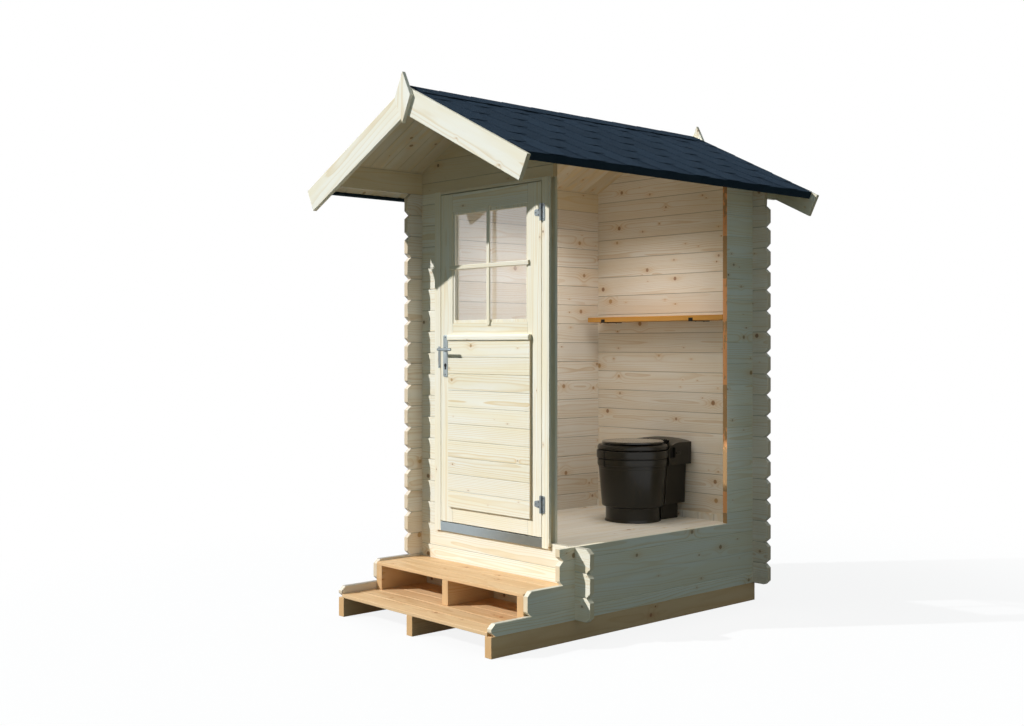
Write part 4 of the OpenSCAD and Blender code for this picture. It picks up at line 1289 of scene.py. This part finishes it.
def housingBlock(lowHalf, topHalf, z0, top, back, lowClear, topClear, fall=0.0):
    # a block whose front follows the round tub; its top may be crowned and fall towards the seat
    bm = bmesh.new()
    columns, rows = housing["columns"], housing["rows"]
    upper, lower = [], []
    for i in range(columns + 1):
        share = math.sin(math.pi / 2 * (2 * i / columns - 1))
        for half, clear, height, lines in ((topHalf, topClear, top(share), upper),
                                           (lowHalf, lowClear, z0, lower)):
            dx = half * share
            start = bowl["y"] + math.sqrt(clear * clear - dx * dx)
            lines.append([])
            for j in range(rows + 1):
                y = start + (back - start) * j / rows
                near = max(0.0, 1 - (y - start) / housing["fallLong"]) if lines is upper else 0.0
                z = floorTop + height - fall * near ** 2
                lines[-1].append(bm.verts.new((bowl["x"] + dx, y, z)))
    for i in range(columns):
        for j in range(rows):
            bm.faces.new((upper[i][j], upper[i + 1][j], upper[i + 1][j + 1], upper[i][j + 1]))
            bm.faces.new((lower[i][j + 1], lower[i + 1][j + 1], lower[i + 1][j], lower[i][j]))
        bm.faces.new((lower[i][0], lower[i + 1][0], upper[i + 1][0], upper[i][0]))
        bm.faces.new((upper[i][rows], upper[i + 1][rows], lower[i + 1][rows], lower[i][rows]))
    for j in range(rows):
        for i, one, two in ((0, j + 1, j), (columns, j, j + 1)):
            bm.faces.new((lower[i][one], lower[i][two], upper[i][two], upper[i][one]))
    return bm


hood = housingBlock(lowHalf=0.178, topHalf=housing["topHalf"], z0=0.312,
                    top=lambda share: 0.4545 - 0.0175 * abs(share) ** 2.4,
                    back=housing["back"] - housing["gap"], lowClear=0.2050, topClear=0.2050,
                    fall=0.030)
hoodObject = newObject("hood", meshFrom("hood", hood))
notches = bmesh.new()
for side in (-1, 1):
    x, w = bowl["x"] + side * pin["side"], pin["half"] + notch["clear"]
    plate(notches, rectangle(x - w, pin["y"] - notch["before"], x + w, pin["y"] + notch["behind"]),
          "xy", pin["z"] - notch["below"], pin["z"] + notch["above"])
    x = bowl["x"] + side * (housing["topHalf"] + grab["out"])
    plate(notches, rectangle(x - grab["half"], bowl["y"] + grab["near"],
                             x + grab["half"], bowl["y"] + grab["far"]),
          "xy", floorTop + grab["low"], floorTop + grab["high"])
notchObject = newObject("notches", meshFrom("notches", notches))
carve = hoodObject.modifiers.new("carve", "BOOLEAN")
carve.operation = "DIFFERENCE"
carve.object = notchObject
carve.solver = "EXACT"
soften = hoodObject.modifiers.new("soften", "BEVEL")
soften.width = 0.006
soften.segments = 4
soften.limit_method = "ANGLE"
soften.angle_limit = math.radians(50)
carved = evaluated(hoodObject)
bpy.data.objects.remove(hoodObject)
bpy.data.objects.remove(notchObject)
bm = bmesh.new()
bm.from_mesh(carved)
toiletPiece("toiletHood", bm, ("toilet_box",))

bm = housingBlock(lowHalf=0.130, topHalf=0.139, z0=0.088, top=lambda share: 0.3125,
                  back=housing["back"] - housing["gap"], lowClear=0.1765, topClear=0.1940)
ease(bm, 0.0025, 50)
toiletPiece("toiletHousingBody", bm)
bm = housingBlock(lowHalf=0.106, topHalf=0.106, z0=0.0, top=lambda share: 0.0885,
                  back=housing["back"] - housing["baseGap"], lowClear=0.161, topClear=0.155)
ease(bm, 0.002, 50)
toiletPiece("toiletHousingBase", bm)

ear = {"out": 0.0075, "half": 0.0065, "radius": 0.007, "edge": 0.001, "edgeIn": 0.0008,
       "before": 0.0065, "behind": 0.022, "below": 0.030, "webHalf": 0.0060}
bm = bmesh.new()
for side in (-1, 1):
    x = bowl["x"] + side * (pin["side"] + pin["half"] + ear["out"])
    disc = spool(ear["radius"], -ear["half"], ear["half"], ear["edgeIn"], ear["edge"])
    lathe(bm, disc, (x, pin["y"], pin["z"]), 20, "x")
    foot = rectangle(pin["y"] - ear["before"], pin["z"] - ear["below"],
                     pin["y"] + ear["behind"], pin["z"])
    plate(bm, rounded(foot, ear["edge"], 1), "yz", x - ear["webHalf"], x + ear["webHalf"])
toiletPiece("toiletHingeEars", bm)

clip = {"middle": 250, "half": 12, "steps": 8, "lugShare": 0.9,
        "plate": [(200, 354), (207.5, 356), (208.5, 366), (208.5, 392), (207, 397), (200, 397)],
        "lug": [(192, 310), (200, 311), (203.5, 316), (203.5, 349), (192, 352)]}
bm = bmesh.new()
for outline, half in ((clip["plate"], clip["half"]),
                      (clip["lug"], clip["half"] * clip["lugShare"])):
    rings = []
    for k in range(clip["steps"] + 1):
        a = math.radians(clip["middle"] + half * (2 * k / clip["steps"] - 1))
        rings.append([bm.verts.new((centre[0] + r / 1000 * math.cos(a),
                                    centre[1] + r / 1000 * math.sin(a),
                                    floorTop + z / 1000)) for r, z in outline])
    bridgeAll(bm, rings)
ease(bm, 0.0012, 60)
toiletPiece("toiletClip", bm)

tabs = {"near": 0.163, "far": 0.200, "low": 0.371, "high": 0.386, "corner": 0.006,
        "in": 0.002, "thick": 0.007}
tab = rounded(rectangle(bowl["y"] + tabs["near"], floorTop + tabs["low"],
                        bowl["y"] + tabs["far"], floorTop + tabs["high"]), tabs["corner"], 4)
bm = bmesh.new()
for side in (-1, 1):
    x = bowl["x"] + side * (housing["topHalf"] - tabs["in"])
    plate(bm, tab, "yz", x, x + side * tabs["thick"])
ease(bm, 0.0015, 60)
toiletPiece("toiletSideTabs", bm)
print("toilet made")
